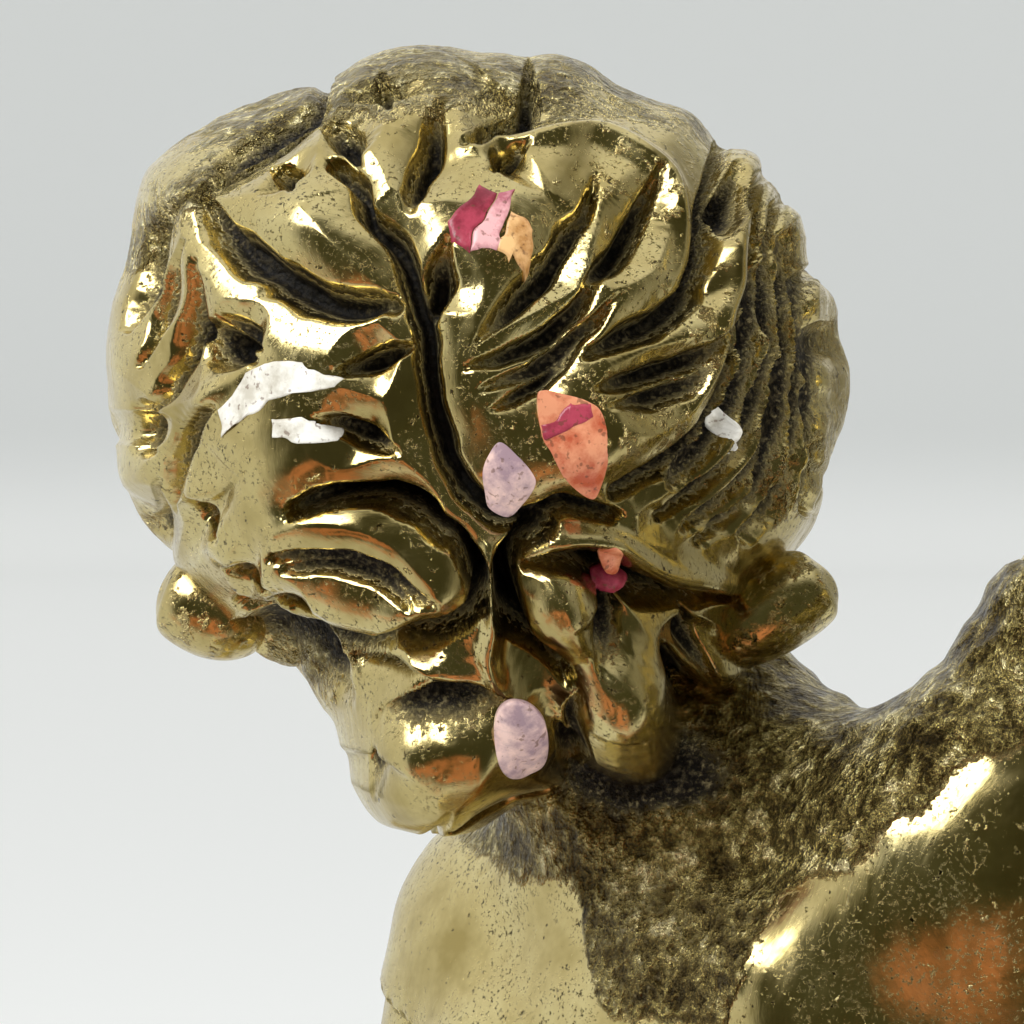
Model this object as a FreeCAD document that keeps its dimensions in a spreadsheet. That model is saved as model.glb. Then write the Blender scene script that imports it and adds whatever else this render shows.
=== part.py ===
import FreeCAD, Part
import math
import os
import Sketcher

from FreeCAD import Placement, Rotation, Vector

# Cast brass hood ornament: a child figure with one arm raised, on a stepped and domed base.
#
# Frame, in millimetres: the origin is on the stud's axis, in the plane of the hood's skin under the
# pad. +Z is up, +Y is the way the car travels and the face looks, and +X is towards the figure's right.

DRIVING_DIMENSIONS = {
    # pad and base castings
    "pad_radius": 22.0,
    "pad_thickness": 1.5,
    "flange_radius": 21.5,
    "flange_rim": 2.0,
    "flange_thickness": 6.5,
    "flange_shoulder_radius": 18.5,
    "boss_radius": 6.5,
    "boss_rise": 4.0,
    "dome_radius": 16.0,
    "dome_hollow_radius": 10.5,
    "deck_rise": 13.5,
    "spot_face_radius": 3.4,
    "spot_face_rise": 10.3,
    # stud and clamping stack
    "stud_radius": 4.0,
    "stud_engagement": 9.5,
    "stud_reach": 30.0,
    "stud_chamfer": 0.8,
    "stud_groove_radius": 3.4,
    "stud_groove_width": 1.4,
    "stack_gap": 3.0,
    "clearance": 0.2,
    "running_clearance": 0.05,
    "fibre_radius": 12.0,
    "fibre_thickness": 1.2,
    "plate_radius": 12.5,
    "plate_thickness": 2.0,
    "washer_radius": 8.5,
    "washer_thickness": 1.6,
    "spring_radius": 7.4,
    "spring_thickness": 2.0,
    "spring_gap": 1.2,
    "nut_flats": 13.0,
    "nut_height": 6.5,
    # pins and screws
    "hood_pin_radius": 1.25,
    "hood_pin_root_radius": 1.6,
    "hood_pin_circle": 17.0,
    "hood_pin_reach": 4.0,
    "hood_pin_engagement": 3.5,
    "dome_screw_radius": 1.25,
    "dome_screw_head": 2.25,
    "dome_screw_head_height": 1.5,
    "dome_screw_circle": 13.7,
    "dome_screw_top": 12.3,
    "foot_screw_radius": 1.5,
    "foot_screw_head": 2.75,
    "foot_screw_head_height": 2.2,
    "foot_screw_bite": 8.0,
    "foot_dowel_radius": 0.7,
    "foot_dowel_forward": 5.6,
    "foot_dowel_half": 1.7,
    "limb_dowel_radius": 1.0,
    "limb_dowel_half": 3.2,
    # figure
    "head_half_width": 9.0,
    "head_half_depth": 9.3,
    "head_half_height": 9.2,
    "face_half_width": 6.5,
    "face_half_depth": 6.9,
    "face_half_height": 7.2,
    "ear_half_width": 1.3,
    "ear_half_depth": 1.7,
    "ear_half_height": 2.2,
    "neck_radius": 4.6,
    "neck_base_radius": 5.6,
    "chest_half_width": 8.4,
    "chest_half_depth": 6.5,
    "chest_half_height": 10.5,
    "tunic_top_half_width": 8.3,
    "tunic_top_half_depth": 6.6,
    "waist_half_width": 7.6,
    "waist_half_depth": 6.6,
    "hip_half_width": 10.0,
    "hip_half_depth": 8.8,
    "hem_half_width": 13.4,
    "hem_half_depth": 12.6,
    "shoulder_radius": 4.1,
    "upper_arm_length": 14.0,
    "elbow_radius": 3.1,
    "forearm_length": 12.0,
    "wrist_radius": 2.1,
    "palm_length": 5.2,
    "palm_half_width": 2.5,
    "palm_half_thickness": 1.3,
    "finger_length": 4.2,
    "thigh_radius": 4.8,
    "knee_radius": 3.8,
    "ankle_radius": 2.5,
    "shin_length": 15.5,
    "heel_radius": 2.9,
    "ball_radius": 2.9,
    "toe_radius": 1.6,
    "foot_length": 9.4,
    "toe_length": 2.9,
    "joint_fullness": 0.94,
    "arm_stub": 4.6,
}

# Armature of the figure: joint places in the row frame and the unit ways its limbs point.
HEAD_CENTRE = Vector(-4.5, 0.0, 103.5)
NECK_BASE = Vector(0.6, -1.2, 93.0)
CHEST_CENTRE = Vector(2.2, -0.2, 84.5)
CHEST_YAW = -48.0
RIGHT_SHOULDER = Vector(7.1, -5.2, 92.6)
LEFT_SHOULDER = Vector(-2.6, 4.6, 90.0)
RIGHT_UPPER_ARM = Vector(0.63, 0.02, 0.776).normalize()
RIGHT_FOREARM = Vector(0.36, 0.16, 0.92).normalize()
RIGHT_HAND = Vector(0.22, 0.22, 0.95).normalize()
RIGHT_PALM = Vector(0.25, 0.93, -0.27).normalize()
LEFT_UPPER_ARM = Vector(-0.30, 0.10, -0.95).normalize()
LEFT_FOREARM = Vector(-0.42, 0.84, 0.34).normalize()
LEFT_HAND = Vector(-0.32, 0.90, 0.28).normalize()
LEFT_PALM = Vector(0.10, 0.33, -0.94).normalize()
LEFT_HIP = Vector(-1.5, 0.5, 60.0)
LEFT_KNEE = Vector(-1.3, 1.6, 41.5)
LEFT_ANKLE = Vector(-0.6, -2.6, 27.0)
LEFT_HEEL = Vector(-0.5, -3.6, 23.9)
FOOT_WAY = Vector(-0.06, 1.0, -0.05).normalize()
RIGHT_HIP = Vector(6.2, -1.2, 60.5)
RIGHT_KNEE = Vector(8.2, 4.2, 45.6)
RIGHT_SHIN = Vector(0.05, -0.95, -0.32).normalize()
RIGHT_FOOT_WAY = Vector(0.02, -0.62, -0.78).normalize()

TUNIC_SECTIONS = (
    # name, centre, half width alias, half depth alias, yaw in degrees
    ("bust", Vector(2.3, -0.1, 83.5), "tunic_top_half_width", "tunic_top_half_depth", -48.0),
    ("waist", Vector(2.2, 0.2, 73.0), "waist_half_width", "waist_half_depth", -34.0),
    ("hips", Vector(2.3, -0.4, 62.5), "hip_half_width", "hip_half_depth", -20.0),
    ("hem", Vector(2.4, -2.6, 46.5), "hem_half_width", "hem_half_depth", -14.0),
)

# Levels of the clamping stack under the pad, as formulas of the sheet's cells.
FIBRE_TOP = "0 - stack_gap"
PLATE_TOP = FIBRE_TOP + " - fibre_thickness"
WASHER_TOP = PLATE_TOP + " - plate_thickness"
SPRING_TOP = WASHER_TOP + " - washer_thickness"
NUT_TOP = SPRING_TOP + " - spring_thickness"
GROOVE_TOP = NUT_TOP + " - nut_height - 0.3"

doc = FreeCAD.newDocument("HoodOrnament")


def make_sheet():
    """Writes the driving dimensions as plain numbers with aliases."""
    sheet = doc.addObject("Spreadsheet::Sheet", "Sizes")
    for row, (alias, value) in enumerate(DRIVING_DIMENSIONS.items(), start=1):
        sheet.set(f"A{row}", alias)
        sheet.set(f"B{row}", str(value))
        sheet.setAlias(f"B{row}", alias)
    doc.recompute()
    return sheet


SHEET = make_sheet()


def size(alias):
    """Value of one driving dimension."""
    return float(getattr(SHEET, alias))


def bind(item, **formulas):
    """Binds properties to formulas; a word that names a cell stands for that cell."""
    for prop, formula in formulas.items():
        words = []
        for word in formula.split():
            words.append(f"Sizes.{word}" if word in DRIVING_DIMENSIONS else word)
        item.setExpression(prop, " ".join(words))
    return item


def ball(name, centre, radius):
    item = doc.addObject("Part::Sphere", name)
    item.Placement.Base = centre
    return bind(item, Radius=radius)


def egg(name, centre, half_x, half_y, half_z, rotation=Rotation()):
    """Ellipsoid with half axes along its own X, Y and Z."""
    item = doc.addObject("Part::Ellipsoid", name)
    item.Placement = Placement(centre, rotation)
    return bind(item, Radius2=half_x, Radius3=half_y, Radius1=half_z)


def rod(name, foot, way, radius, height):
    """Cylinder from foot along way."""
    item = doc.addObject("Part::Cylinder", name)
    item.Placement = Placement(foot, Rotation(Vector(0, 0, 1), way))
    return bind(item, Radius=radius, Height=height)


def taper(name, foot, tip, radius_foot, radius_tip):
    """Cone between two points of the armature, a little slimmer than the joints that it runs into."""
    item = doc.addObject("Part::Cone", name)
    item.Placement = Placement(foot, Rotation(Vector(0, 0, 1), tip - foot))
    item.Height = (tip - foot).Length
    return bind(item, Radius1=f"{radius_foot} * joint_fullness", Radius2=f"{radius_tip} * joint_fullness")


def block(name, corner, length, width, height):
    item = doc.addObject("Part::Box", name)
    item.Placement.Base = corner
    return bind(item, Length=length, Width=width, Height=height)


def fuse(name, *items):
    item = doc.addObject("Part::MultiFuse", name)
    item.Shapes = list(items)
    return item


def cut(name, base, tool):
    item = doc.addObject("Part::Cut", name)
    item.Base = base
    item.Tool = tool
    return item


def turned(name, profile):
    """Body of revolution about Z: each (radius, height) corner of the profile is bound to the sheet."""
    body = doc.addObject("PartDesign::Body", name + "_turned")
    sketch = body.newObject("Sketcher::SketchObject", name + "_profile")
    plane = [f for f in body.Origin.OriginFeatures if f.Role == "XZ_Plane"][0]
    sketch.AttachmentSupport = [(plane, "")]
    sketch.MapMode = "FlatFace"
    count = len(profile)
    guesses = [Vector(10.0 * math.cos(2 * math.pi * i / count) + 12.0,
                      10.0 * math.sin(2 * math.pi * i / count), 0) for i in range(count)]
    for i in range(count):
        sketch.addGeometry(Part.LineSegment(guesses[i], guesses[(i + 1) % count]), False)
    for i in range(count):
        sketch.addConstraint(Sketcher.Constraint("Coincident", i, 2, (i + 1) % count, 1))
    for i, (radius, height) in enumerate(profile):
        if radius == "0":
            sketch.addConstraint(Sketcher.Constraint("PointOnObject", i, 1, -2))
        else:
            across = sketch.addConstraint(Sketcher.Constraint("DistanceX", -1, 1, i, 1, 1.0))
            bind(sketch, **{f"Constraints[{across}]": radius})
        up = sketch.addConstraint(Sketcher.Constraint("DistanceY", -1, 1, i, 1, 1.0))
        bind(sketch, **{f"Constraints[{up}]": height})
    doc.recompute()
    revolution = body.newObject("PartDesign::Revolution", name + "_revolution")
    revolution.Profile = sketch
    revolution.ReferenceAxis = (sketch, ["V_Axis"])
    revolution.Angle = 360.0
    body.Tip = revolution
    doc.recompute()
    return body


def make_pad():
    """Flat pad cut from rubber sheet, with holes for the stud and the two pins."""
    bore = "stud_radius + clearance"
    blank = turned("pad", [
        (bore, "0"),
        ("pad_radius - 0.3", "0"),
        ("pad_radius", "0.3"),
        ("pad_radius", "pad_thickness - 0.2"),
        ("pad_radius - 0.2", "pad_thickness"),
        (bore, "pad_thickness"),
    ])
    roots = hood_pin_rods("pad_pin_holes", "hood_pin_root_radius + running_clearance")
    return cut("pad_cut", blank, roots)


def hood_pin_rods(name, radius, with_shanks=False):
    """Roots of the two anti-turn pins, as rods of the given radius; their shanks reach below the pad."""
    rods = []
    for side, sign in (("right", 1), ("left", -1)):
        foot = Vector(sign * size("hood_pin_circle"), 0, 0)
        rods.append(rod(f"{name}_{side}", foot, Vector(0, 0, 1), radius,
                        "pad_thickness + hood_pin_engagement"))
        if with_shanks:
            shank_foot = foot - Vector(0, 0, size("hood_pin_reach"))
            rods.append(rod(f"{name}_{side}_shank", shank_foot, Vector(0, 0, 1), "hood_pin_radius",
                            "hood_pin_reach + pad_thickness"))
    return fuse(name, *rods)


def dome_screw_rods(name, shank, head, top):
    """The two screws from the flange into the dome: shank and head, or the holes for them."""
    parts = []
    for side, sign in (("front", 1), ("rear", -1)):
        foot = Vector(0, sign * size("dome_screw_circle"), size("pad_thickness"))
        parts.append(rod(f"{name}_{side}_head", foot, Vector(0, 0, 1), head, "dome_screw_head_height"))
        parts.append(rod(f"{name}_{side}_shank", foot, Vector(0, 0, 1), shank, top + " - pad_thickness"))
    return fuse(name, *parts)


def make_flange():
    """Stepped lower casting with the threaded boss for the stud."""
    blank = turned("flange", [
        ("0", "pad_thickness"),
        ("flange_radius", "pad_thickness"),
        ("flange_radius", "pad_thickness + flange_rim"),
        ("flange_radius - 1", "pad_thickness + flange_rim + 0.8"),
        ("flange_shoulder_radius + 0.6", "pad_thickness + flange_rim + 1.2"),
        ("flange_shoulder_radius", "pad_thickness + flange_rim + 2.2"),
        ("flange_shoulder_radius", "pad_thickness + flange_thickness - 0.7"),
        ("flange_shoulder_radius - 0.7", "pad_thickness + flange_thickness"),
        ("boss_radius", "pad_thickness + flange_thickness"),
        ("boss_radius", "pad_thickness + flange_thickness + boss_rise"),
        ("0", "pad_thickness + flange_thickness + boss_rise"),
    ])
    stud_hole = rod("flange_stud_hole", Vector(0, 0, 0), Vector(0, 0, 1),
                    "stud_radius", "pad_thickness + stud_engagement")
    holes = fuse("flange_holes", stud_hole,
                 hood_pin_rods("flange_pin_holes", "hood_pin_root_radius"),
                 dome_screw_rods("flange_screw_holes", "dome_screw_radius + running_clearance",
                                 "dome_screw_head + clearance", "dome_screw_top"))
    return cut("flange_cut", blank, holes)


def make_dome():
    """Upper casting: a flat-topped hollow dome that the figure stands on."""
    ledge = size("pad_thickness") + size("flange_thickness")
    outside = ball("dome_outside", Vector(0, 0, ledge), "dome_radius")
    span = rod("dome_span", Vector(0, 0, ledge), Vector(0, 0, 1), "dome_radius + 1", "deck_rise")
    blank = doc.addObject("Part::Common", "dome_blank")
    blank.Base = outside
    blank.Tool = span
    hollow = ball("dome_hollow", Vector(0, 0, ledge), "dome_hollow_radius")
    below_heel = Vector(LEFT_ANKLE.x, LEFT_ANKLE.y, ledge)
    spot_face = rod("dome_spot_face", below_heel, Vector(0, 0, 1), "spot_face_radius", "spot_face_rise")
    screw_hole = rod("dome_foot_screw_hole", below_heel, Vector(0, 0, 1),
                     "foot_screw_radius + clearance", "deck_rise + 1")
    tools = fuse("dome_tools", hollow, spot_face, screw_hole, foot_dowel_rod("dome_dowel_hole"),
                 dome_screw_rods("dome_screw_holes", "dome_screw_radius", "dome_screw_radius",
                                 "dome_screw_top"))
    return cut("dome_cut", blank, tools)


def deck_height():
    return size("pad_thickness") + size("flange_thickness") + size("deck_rise")


def foot_dowel_rod(name):
    """Small pin that stops the standing foot turning on its screw."""
    foot = Vector(LEFT_ANKLE.x - 0.3, LEFT_ANKLE.y + size("foot_dowel_forward"),
                  deck_height() - size("foot_dowel_half"))
    return rod(name, foot, Vector(0, 0, 1), "foot_dowel_radius", "foot_dowel_half * 2")


def make_foot_screw():
    """Cheese-head screw from inside the dome up into the standing leg."""
    seat = Vector(LEFT_ANKLE.x, LEFT_ANKLE.y,
                  size("pad_thickness") + size("flange_thickness") + size("spot_face_rise"))
    head = rod("foot_screw_head_disc", seat - Vector(0, 0, size("foot_screw_head_height")),
               Vector(0, 0, 1), "foot_screw_head", "foot_screw_head_height")
    shank = rod("foot_screw_shank", seat, Vector(0, 0, 1), "foot_screw_radius",
                "deck_rise - spot_face_rise + foot_screw_bite")
    slot = block("foot_screw_slot", head.Placement.Base - Vector(3.0, 0.4, 0.1),
                 "6", "0.8", "0.9")
    return cut("foot_screw_cut", fuse("foot_screw_blank", head, shank), slot)


def make_stud():
    """Plain-surfaced stand-in for the threaded stud.

    A groove down to the thread's root, just under the nut, parts the free end from the rest.
    """
    return turned("stud", [
        ("0", "0 - stud_reach"),
        ("stud_radius - stud_chamfer", "0 - stud_reach"),
        ("stud_radius", "stud_chamfer - stud_reach"),
        ("stud_radius", GROOVE_TOP + " - stud_groove_width"),
        ("stud_groove_radius", GROOVE_TOP + " - stud_groove_width"),
        ("stud_groove_radius", GROOVE_TOP),
        ("stud_radius", GROOVE_TOP),
        ("stud_radius", "pad_thickness + stud_engagement"),
        ("0", "pad_thickness + stud_engagement"),
    ])


def ring(name, top, thickness, radius, bore_gap, edge="0.2"):
    """Washer whose top face is at the given formula, with eased edges."""
    bottom = f"{top} - {thickness}"
    bore = f"stud_radius + {bore_gap}"
    return turned(name, [
        (bore, bottom),
        (f"{radius} - {edge}", bottom),
        (radius, f"{bottom} + {edge}"),
        (radius, f"{top} - {edge}"),
        (f"{radius} - {edge}", top),
        (bore, top),
    ])


def make_lock_washer():
    """Spring washer, closed flat, with its slanting split."""
    blank = ring("lock_washer", SPRING_TOP, "spring_thickness", "spring_radius", "clearance", "0.1")
    depth = sum(size(a) for a in ("stack_gap", "fibre_thickness", "plate_thickness",
                                  "washer_thickness", "spring_thickness"))
    split = block("spring_split", Vector(0, 0, 0), "spring_radius + 2", "spring_gap",
                  "spring_thickness + 2")
    split.Placement = Placement(Vector(2.0, -size("spring_gap") / 2, -depth - 1.0),
                                Rotation(Vector(1, 0, 0), 20))
    return cut("lock_washer_cut", blank, split)


def make_nut():
    """Hexagon nut with chamfered corners and a bore that clears the stud."""
    prism = doc.addObject("Part::Prism", "nut_prism")
    prism.Polygon = 6
    top = sum(size(a) for a in ("stack_gap", "fibre_thickness", "plate_thickness",
                                "washer_thickness", "spring_thickness"))
    prism.Placement.Base = Vector(0, 0, -top - size("nut_height"))
    bind(prism, Circumradius="nut_flats / sqrt(3)", Height="nut_height")
    envelope = turned("nut_envelope", [
        ("stud_radius + running_clearance", NUT_TOP + " - nut_height"),
        ("nut_flats / 2", NUT_TOP + " - nut_height"),
        ("nut_flats / 2 + 1.1", NUT_TOP + " - nut_height + 0.65"),
        ("nut_flats / 2 + 1.1", NUT_TOP + " - 0.65"),
        ("nut_flats / 2", NUT_TOP),
        ("stud_radius + running_clearance", NUT_TOP),
    ])
    nut = doc.addObject("Part::Common", "nut_common")
    nut.Base = prism
    nut.Tool = envelope
    return nut


def make_head():
    """Hair mass, face, ears and nape curls, as the parts of one head."""
    parts = [
        egg("hair_mass", HEAD_CENTRE, "head_half_width", "head_half_depth", "head_half_height"),
        egg("face_mass", HEAD_CENTRE + Vector(0.3, 2.6, -3.2),
            "face_half_width", "face_half_depth", "face_half_height"),
        ball("nape_curl_left", HEAD_CENTRE + Vector(-0.6, -4.2, -7.9), "2.7"),
        ball("nape_curl_right", HEAD_CENTRE + Vector(3.6, -4.0, -7.2), "2.6"),
    ]
    for side, sign in (("right", 1), ("left", -1)):
        centre = HEAD_CENTRE + Vector(sign * 7.7, 0.9, -5.0)
        parts.append(egg(f"{side}_ear", centre, "ear_half_width", "ear_half_depth", "ear_half_height"))
    return parts


def make_tunic():
    """Short tunic from the chest to above the knees, as a loft through four sections."""
    wires = []
    for name, centre, half_width, half_depth, yaw in TUNIC_SECTIONS:
        wire = doc.addObject("Part::Ellipse", f"tunic_{name}")
        wire.Placement = Placement(centre, Rotation(Vector(0, 0, 1), yaw))
        wires.append(bind(wire, MajorRadius=half_width, MinorRadius=half_depth))
    loft = doc.addObject("Part::Loft", "tunic_loft")
    loft.Sections = wires
    loft.Solid = True
    return loft


def foot_parts(name, heel, way):
    """Heel, instep and toes along one way."""
    ball_of_foot = heel + way * size("foot_length") * 0.72
    toes = ball_of_foot + way * size("toe_length")
    return [
        ball(f"{name}_heel", heel, "heel_radius"),
        taper(f"{name}_instep", heel, ball_of_foot, "heel_radius", "ball_radius"),
        ball(f"{name}_ball", ball_of_foot, "ball_radius"),
        taper(f"{name}_toe_taper", ball_of_foot, toes, "ball_radius", "toe_radius"),
        ball(f"{name}_toes", toes, "toe_radius"),
    ]


def make_body_blank():
    """Head, neck, bare shoulders, tunic and standing leg, before the joints are cut."""
    torso = [
        taper("neck", HEAD_CENTRE + Vector(1.2, -0.6, -4.0), NECK_BASE, "neck_radius", "neck_base_radius"),
        egg("chest", CHEST_CENTRE, "chest_half_width", "chest_half_depth", "chest_half_height",
            Rotation(Vector(0, 0, 1), CHEST_YAW)),
        taper("right_collar", NECK_BASE, RIGHT_SHOULDER, "4.6", "3.4"),
        taper("left_collar", NECK_BASE - Vector(0, 0, 1), LEFT_SHOULDER, "4.4", "3.4"),
        ball("right_shoulder", RIGHT_SHOULDER, "shoulder_radius"),
        rod("right_arm_stub", RIGHT_SHOULDER, RIGHT_UPPER_ARM, "shoulder_radius * 0.97", "arm_stub"),
    ]
    leg = [
        taper("left_thigh", LEFT_HIP, LEFT_KNEE, "thigh_radius", "knee_radius"),
        ball("left_knee", LEFT_KNEE, "knee_radius"),
        taper("left_shin", LEFT_KNEE, LEFT_ANKLE, "knee_radius", "ankle_radius"),
        ball("left_ankle", LEFT_ANKLE, "ankle_radius"),
        *foot_parts("left_foot", LEFT_HEEL, FOOT_WAY),
        ball("right_knee_root", RIGHT_HIP * 0.25 + RIGHT_KNEE * 0.75 + Vector(0, 0, 3), "knee_radius"),
    ]
    whole = fuse("body_fused", *make_head(), *torso, make_tunic(), *leg)
    under = block("below_deck", Vector(-30, -30, deck_height() - 10), "60", "60", "10")
    return cut("body_blank", whole, under)


def arm_parts(name, shoulder, upper, fore, hand, palm):
    """One arm on its armature: upper arm, forearm, palm, fingers and thumb."""
    elbow = shoulder + upper * size("upper_arm_length")
    wrist = elbow + fore * size("forearm_length")
    palm_centre = wrist + hand * size("palm_length") * 0.55
    knuckles = wrist + hand * size("palm_length")
    across = hand.cross(palm).normalize()
    turn = Rotation(across, palm, hand, "ZXY")
    fingers = egg(f"{name}_fingers", knuckles + hand * size("finger_length") * 0.45,
                  "palm_half_width * 0.9", "palm_half_thickness * 0.8", "finger_length * 0.75", turn)
    thumb_tip = palm_centre + (across * -1.0 + hand * 0.9) * 2.4
    return [
        taper(f"{name}_upper", shoulder, elbow, "shoulder_radius", "elbow_radius"),
        ball(f"{name}_elbow", elbow, "elbow_radius"),
        taper(f"{name}_fore", elbow, wrist, "elbow_radius", "wrist_radius"),
        ball(f"{name}_wrist", wrist, "wrist_radius"),
        egg(f"{name}_palm", palm_centre, "palm_half_width", "palm_half_thickness",
            "palm_length * 0.65", turn),
        fingers,
        taper(f"{name}_thumb", palm_centre - hand * 1.2, thumb_tip, "1.1", "0.7"),
        ball(f"{name}_thumb_tip", thumb_tip, "0.7"),
    ]


def raised_leg_parts():
    """Bent knee and lower leg kicked back, with its foot."""
    ankle = RIGHT_KNEE + RIGHT_SHIN * size("shin_length")
    heel = ankle + Vector(0, -0.6, 1.0)
    return [
        ball("right_knee", RIGHT_KNEE, "knee_radius"),
        taper("right_shin", RIGHT_KNEE, ankle, "knee_radius", "ankle_radius"),
        ball("right_ankle", ankle, "ankle_radius"),
        *foot_parts("right_foot", heel, RIGHT_FOOT_WAY),
    ]


def limb_dowel(name, joint, way):
    """Dowel across the joint between a limb casting and the body."""
    return rod(name, joint - way * size("limb_dowel_half"), way, "limb_dowel_radius",
               "limb_dowel_half * 2")


LIMB_JOINTS = {
    "right_arm": (RIGHT_SHOULDER + RIGHT_UPPER_ARM * size("arm_stub"), RIGHT_UPPER_ARM),
    "left_arm": (LEFT_SHOULDER + Vector(-0.9, 1.2, -0.9), Vector(-0.55, 0.62, -0.56).normalize()),
    "raised_leg": (RIGHT_KNEE + Vector(-0.2, -0.5, 2.0), (RIGHT_KNEE - RIGHT_HIP).normalize()),
}


def name_part(item, label):
    item.Label = label
    return item


def make_figure():
    """Body, two arms and the raised leg, fitted to each other, with their dowels and holes."""
    body = make_body_blank()
    limbs = {
        "right_arm": fuse("right_arm_fused", *arm_parts(
            "right_arm", RIGHT_SHOULDER, RIGHT_UPPER_ARM, RIGHT_FOREARM, RIGHT_HAND, RIGHT_PALM)),
        "left_arm": fuse("left_arm_fused", ball("left_shoulder", LEFT_SHOULDER, "shoulder_radius"), *arm_parts(
            "left_arm", LEFT_SHOULDER, LEFT_UPPER_ARM, LEFT_FOREARM, LEFT_HAND, LEFT_PALM)),
        "raised_leg": fuse("raised_leg_fused", *raised_leg_parts()),
    }
    parts = []
    body_holes = [foot_dowel_rod("foot_dowel_hole"),
                  rod("foot_screw_hole", Vector(LEFT_ANKLE.x, LEFT_ANKLE.y, deck_height() - 1),
                      Vector(0, 0, 1), "foot_screw_radius", "foot_screw_bite + 1")]
    for limb, fused in limbs.items():
        joint, way = LIMB_JOINTS[limb]
        fitted = cut(f"{limb}_fitted", fused, body)
        drilled = cut(f"{limb}_drilled", fitted, limb_dowel(f"{limb}_hole", joint, way))
        parts.append(name_part(drilled, f"{limb}_casting"))
        parts.append(name_part(limb_dowel(f"{limb}_pin", joint, way), f"{limb}_dowel"))
        body_holes.append(limb_dowel(f"{limb}_socket", joint, way))
    drilled_body = cut("body_drilled", body, fuse("body_holes", *body_holes))
    parts.append(name_part(drilled_body, "body_casting"))
    return parts


def make_parts():
    parts = make_figure()
    parts += [
        name_part(make_dome(), "dome_casting"),
        name_part(make_flange(), "flange_casting"),
        name_part(make_foot_screw(), "foot_screw"),
        name_part(foot_dowel_rod("foot_dowel_pin"), "foot_dowel"),
        name_part(dome_screw_rods("dome_screw_set", "dome_screw_radius", "dome_screw_head",
                                  "dome_screw_top"), "dome_screws"),
        name_part(make_stud(), "mounting_stud"),
        name_part(hood_pin_rods("hood_pin_set", "hood_pin_root_radius", with_shanks=True), "hood_pins"),
        name_part(make_pad(), "rubber_pad"),
        name_part(ring("fibre_washer", FIBRE_TOP, "fibre_thickness", "fibre_radius", "clearance"),
                  "fibre_washer"),
        name_part(ring("backing_plate", PLATE_TOP, "plate_thickness", "plate_radius", "clearance",
                       "0.4"), "backing_plate"),
        name_part(ring("plain_washer", WASHER_TOP, "washer_thickness", "washer_radius", "clearance"),
                  "plain_washer"),
        name_part(make_lock_washer(), "lock_washer"),
        name_part(make_nut(), "hex_nut"),
    ]
    return parts


def check_document():
    """Stops if any object failed to compute."""
    failed = [o.Name for o in doc.Objects if {"Invalid", "Error"} & set(o.State)]
    if failed:
        raise RuntimeError(f"these objects failed: {failed}")


def export(parts):
    os.makedirs("parts", exist_ok=True)
    for item in parts:
        shape = item.Shape
        if shape.isNull() or not shape.isValid() or not shape.Solids:
            raise RuntimeError(f"{item.Label} has no valid solid")
        print(f"{item.Label:22s} solids {len(shape.Solids):2d}  volume {shape.Volume:10.2f} mm3")
        if len(shape.Solids) == 1:
            shape = shape.Solids[0]
        shape.exportStep(f"parts/{item.Label}.step")


def main():
    parts = make_parts()
    doc.recompute()
    check_document()
    export(parts)


main()
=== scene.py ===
"""Cast brass hood ornament: a running child figure on a domed base, with its stud, pad and clamping stack.

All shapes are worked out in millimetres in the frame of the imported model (+Z up, +Y the way the face looks)
and put into meshes in metres.
"""
from __future__ import annotations

import logging
import math
from collections.abc import Callable
from dataclasses import dataclass, field
from enum import Enum
from functools import partial

import bpy
import numpy as np
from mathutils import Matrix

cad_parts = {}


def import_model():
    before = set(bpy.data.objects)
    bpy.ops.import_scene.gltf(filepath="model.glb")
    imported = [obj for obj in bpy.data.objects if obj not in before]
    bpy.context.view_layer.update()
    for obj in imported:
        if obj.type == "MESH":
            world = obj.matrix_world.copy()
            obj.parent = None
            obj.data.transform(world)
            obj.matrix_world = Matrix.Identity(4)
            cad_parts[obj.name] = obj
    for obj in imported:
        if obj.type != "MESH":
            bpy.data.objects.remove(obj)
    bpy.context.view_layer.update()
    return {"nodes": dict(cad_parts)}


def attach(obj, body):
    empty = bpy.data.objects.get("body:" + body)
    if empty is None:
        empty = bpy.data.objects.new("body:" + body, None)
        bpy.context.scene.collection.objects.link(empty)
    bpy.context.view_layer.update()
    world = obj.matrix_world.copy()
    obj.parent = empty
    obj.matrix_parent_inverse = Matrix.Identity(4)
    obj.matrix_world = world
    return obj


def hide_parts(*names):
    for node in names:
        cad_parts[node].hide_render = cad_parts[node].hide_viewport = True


LOG = logging.getLogger("hood_ornament")
MM = 0.001
Array = np.ndarray
Socket = bpy.types.NodeSocket

HEAD_CENTRE = np.array([-4.5, 0.0, 103.5])
VIEW_DISTANCE = 75.0
VIEW_CENTRE = np.array([0.85, -2.8])

# Large odd numbers that scatter a lattice corner's place and a seed into a number that looks random.
LATTICE_FACTORS = np.array([374761393, 668265263, 2147483647], dtype=np.int64)
SEED_FACTOR = 1274126177
SCATTER_FACTOR = 1103515245


# --------------------------------------------------------------------------------------------- numbers


def smooth(low: float, high: float, value: Array) -> Array:
    """Smooth step: 0 below low, 1 above high, and a cubic s-curve between.

    Args:
        low: value where the step starts.
        high: value where it ends; may be less than low, for a falling step.
        value: numbers to map.

    Returns:
        The mapped numbers, from 0 to 1.
    """
    t = np.clip((value - low) / (high - low), 0.0, 1.0)
    return t * t * (3.0 - 2.0 * t)


def unit(vector: Array) -> Array:
    """Vectors scaled to length 1 along the last axis."""
    vector = np.asarray(vector, dtype=float)
    return vector / np.linalg.norm(vector, axis=-1, keepdims=True)


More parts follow.
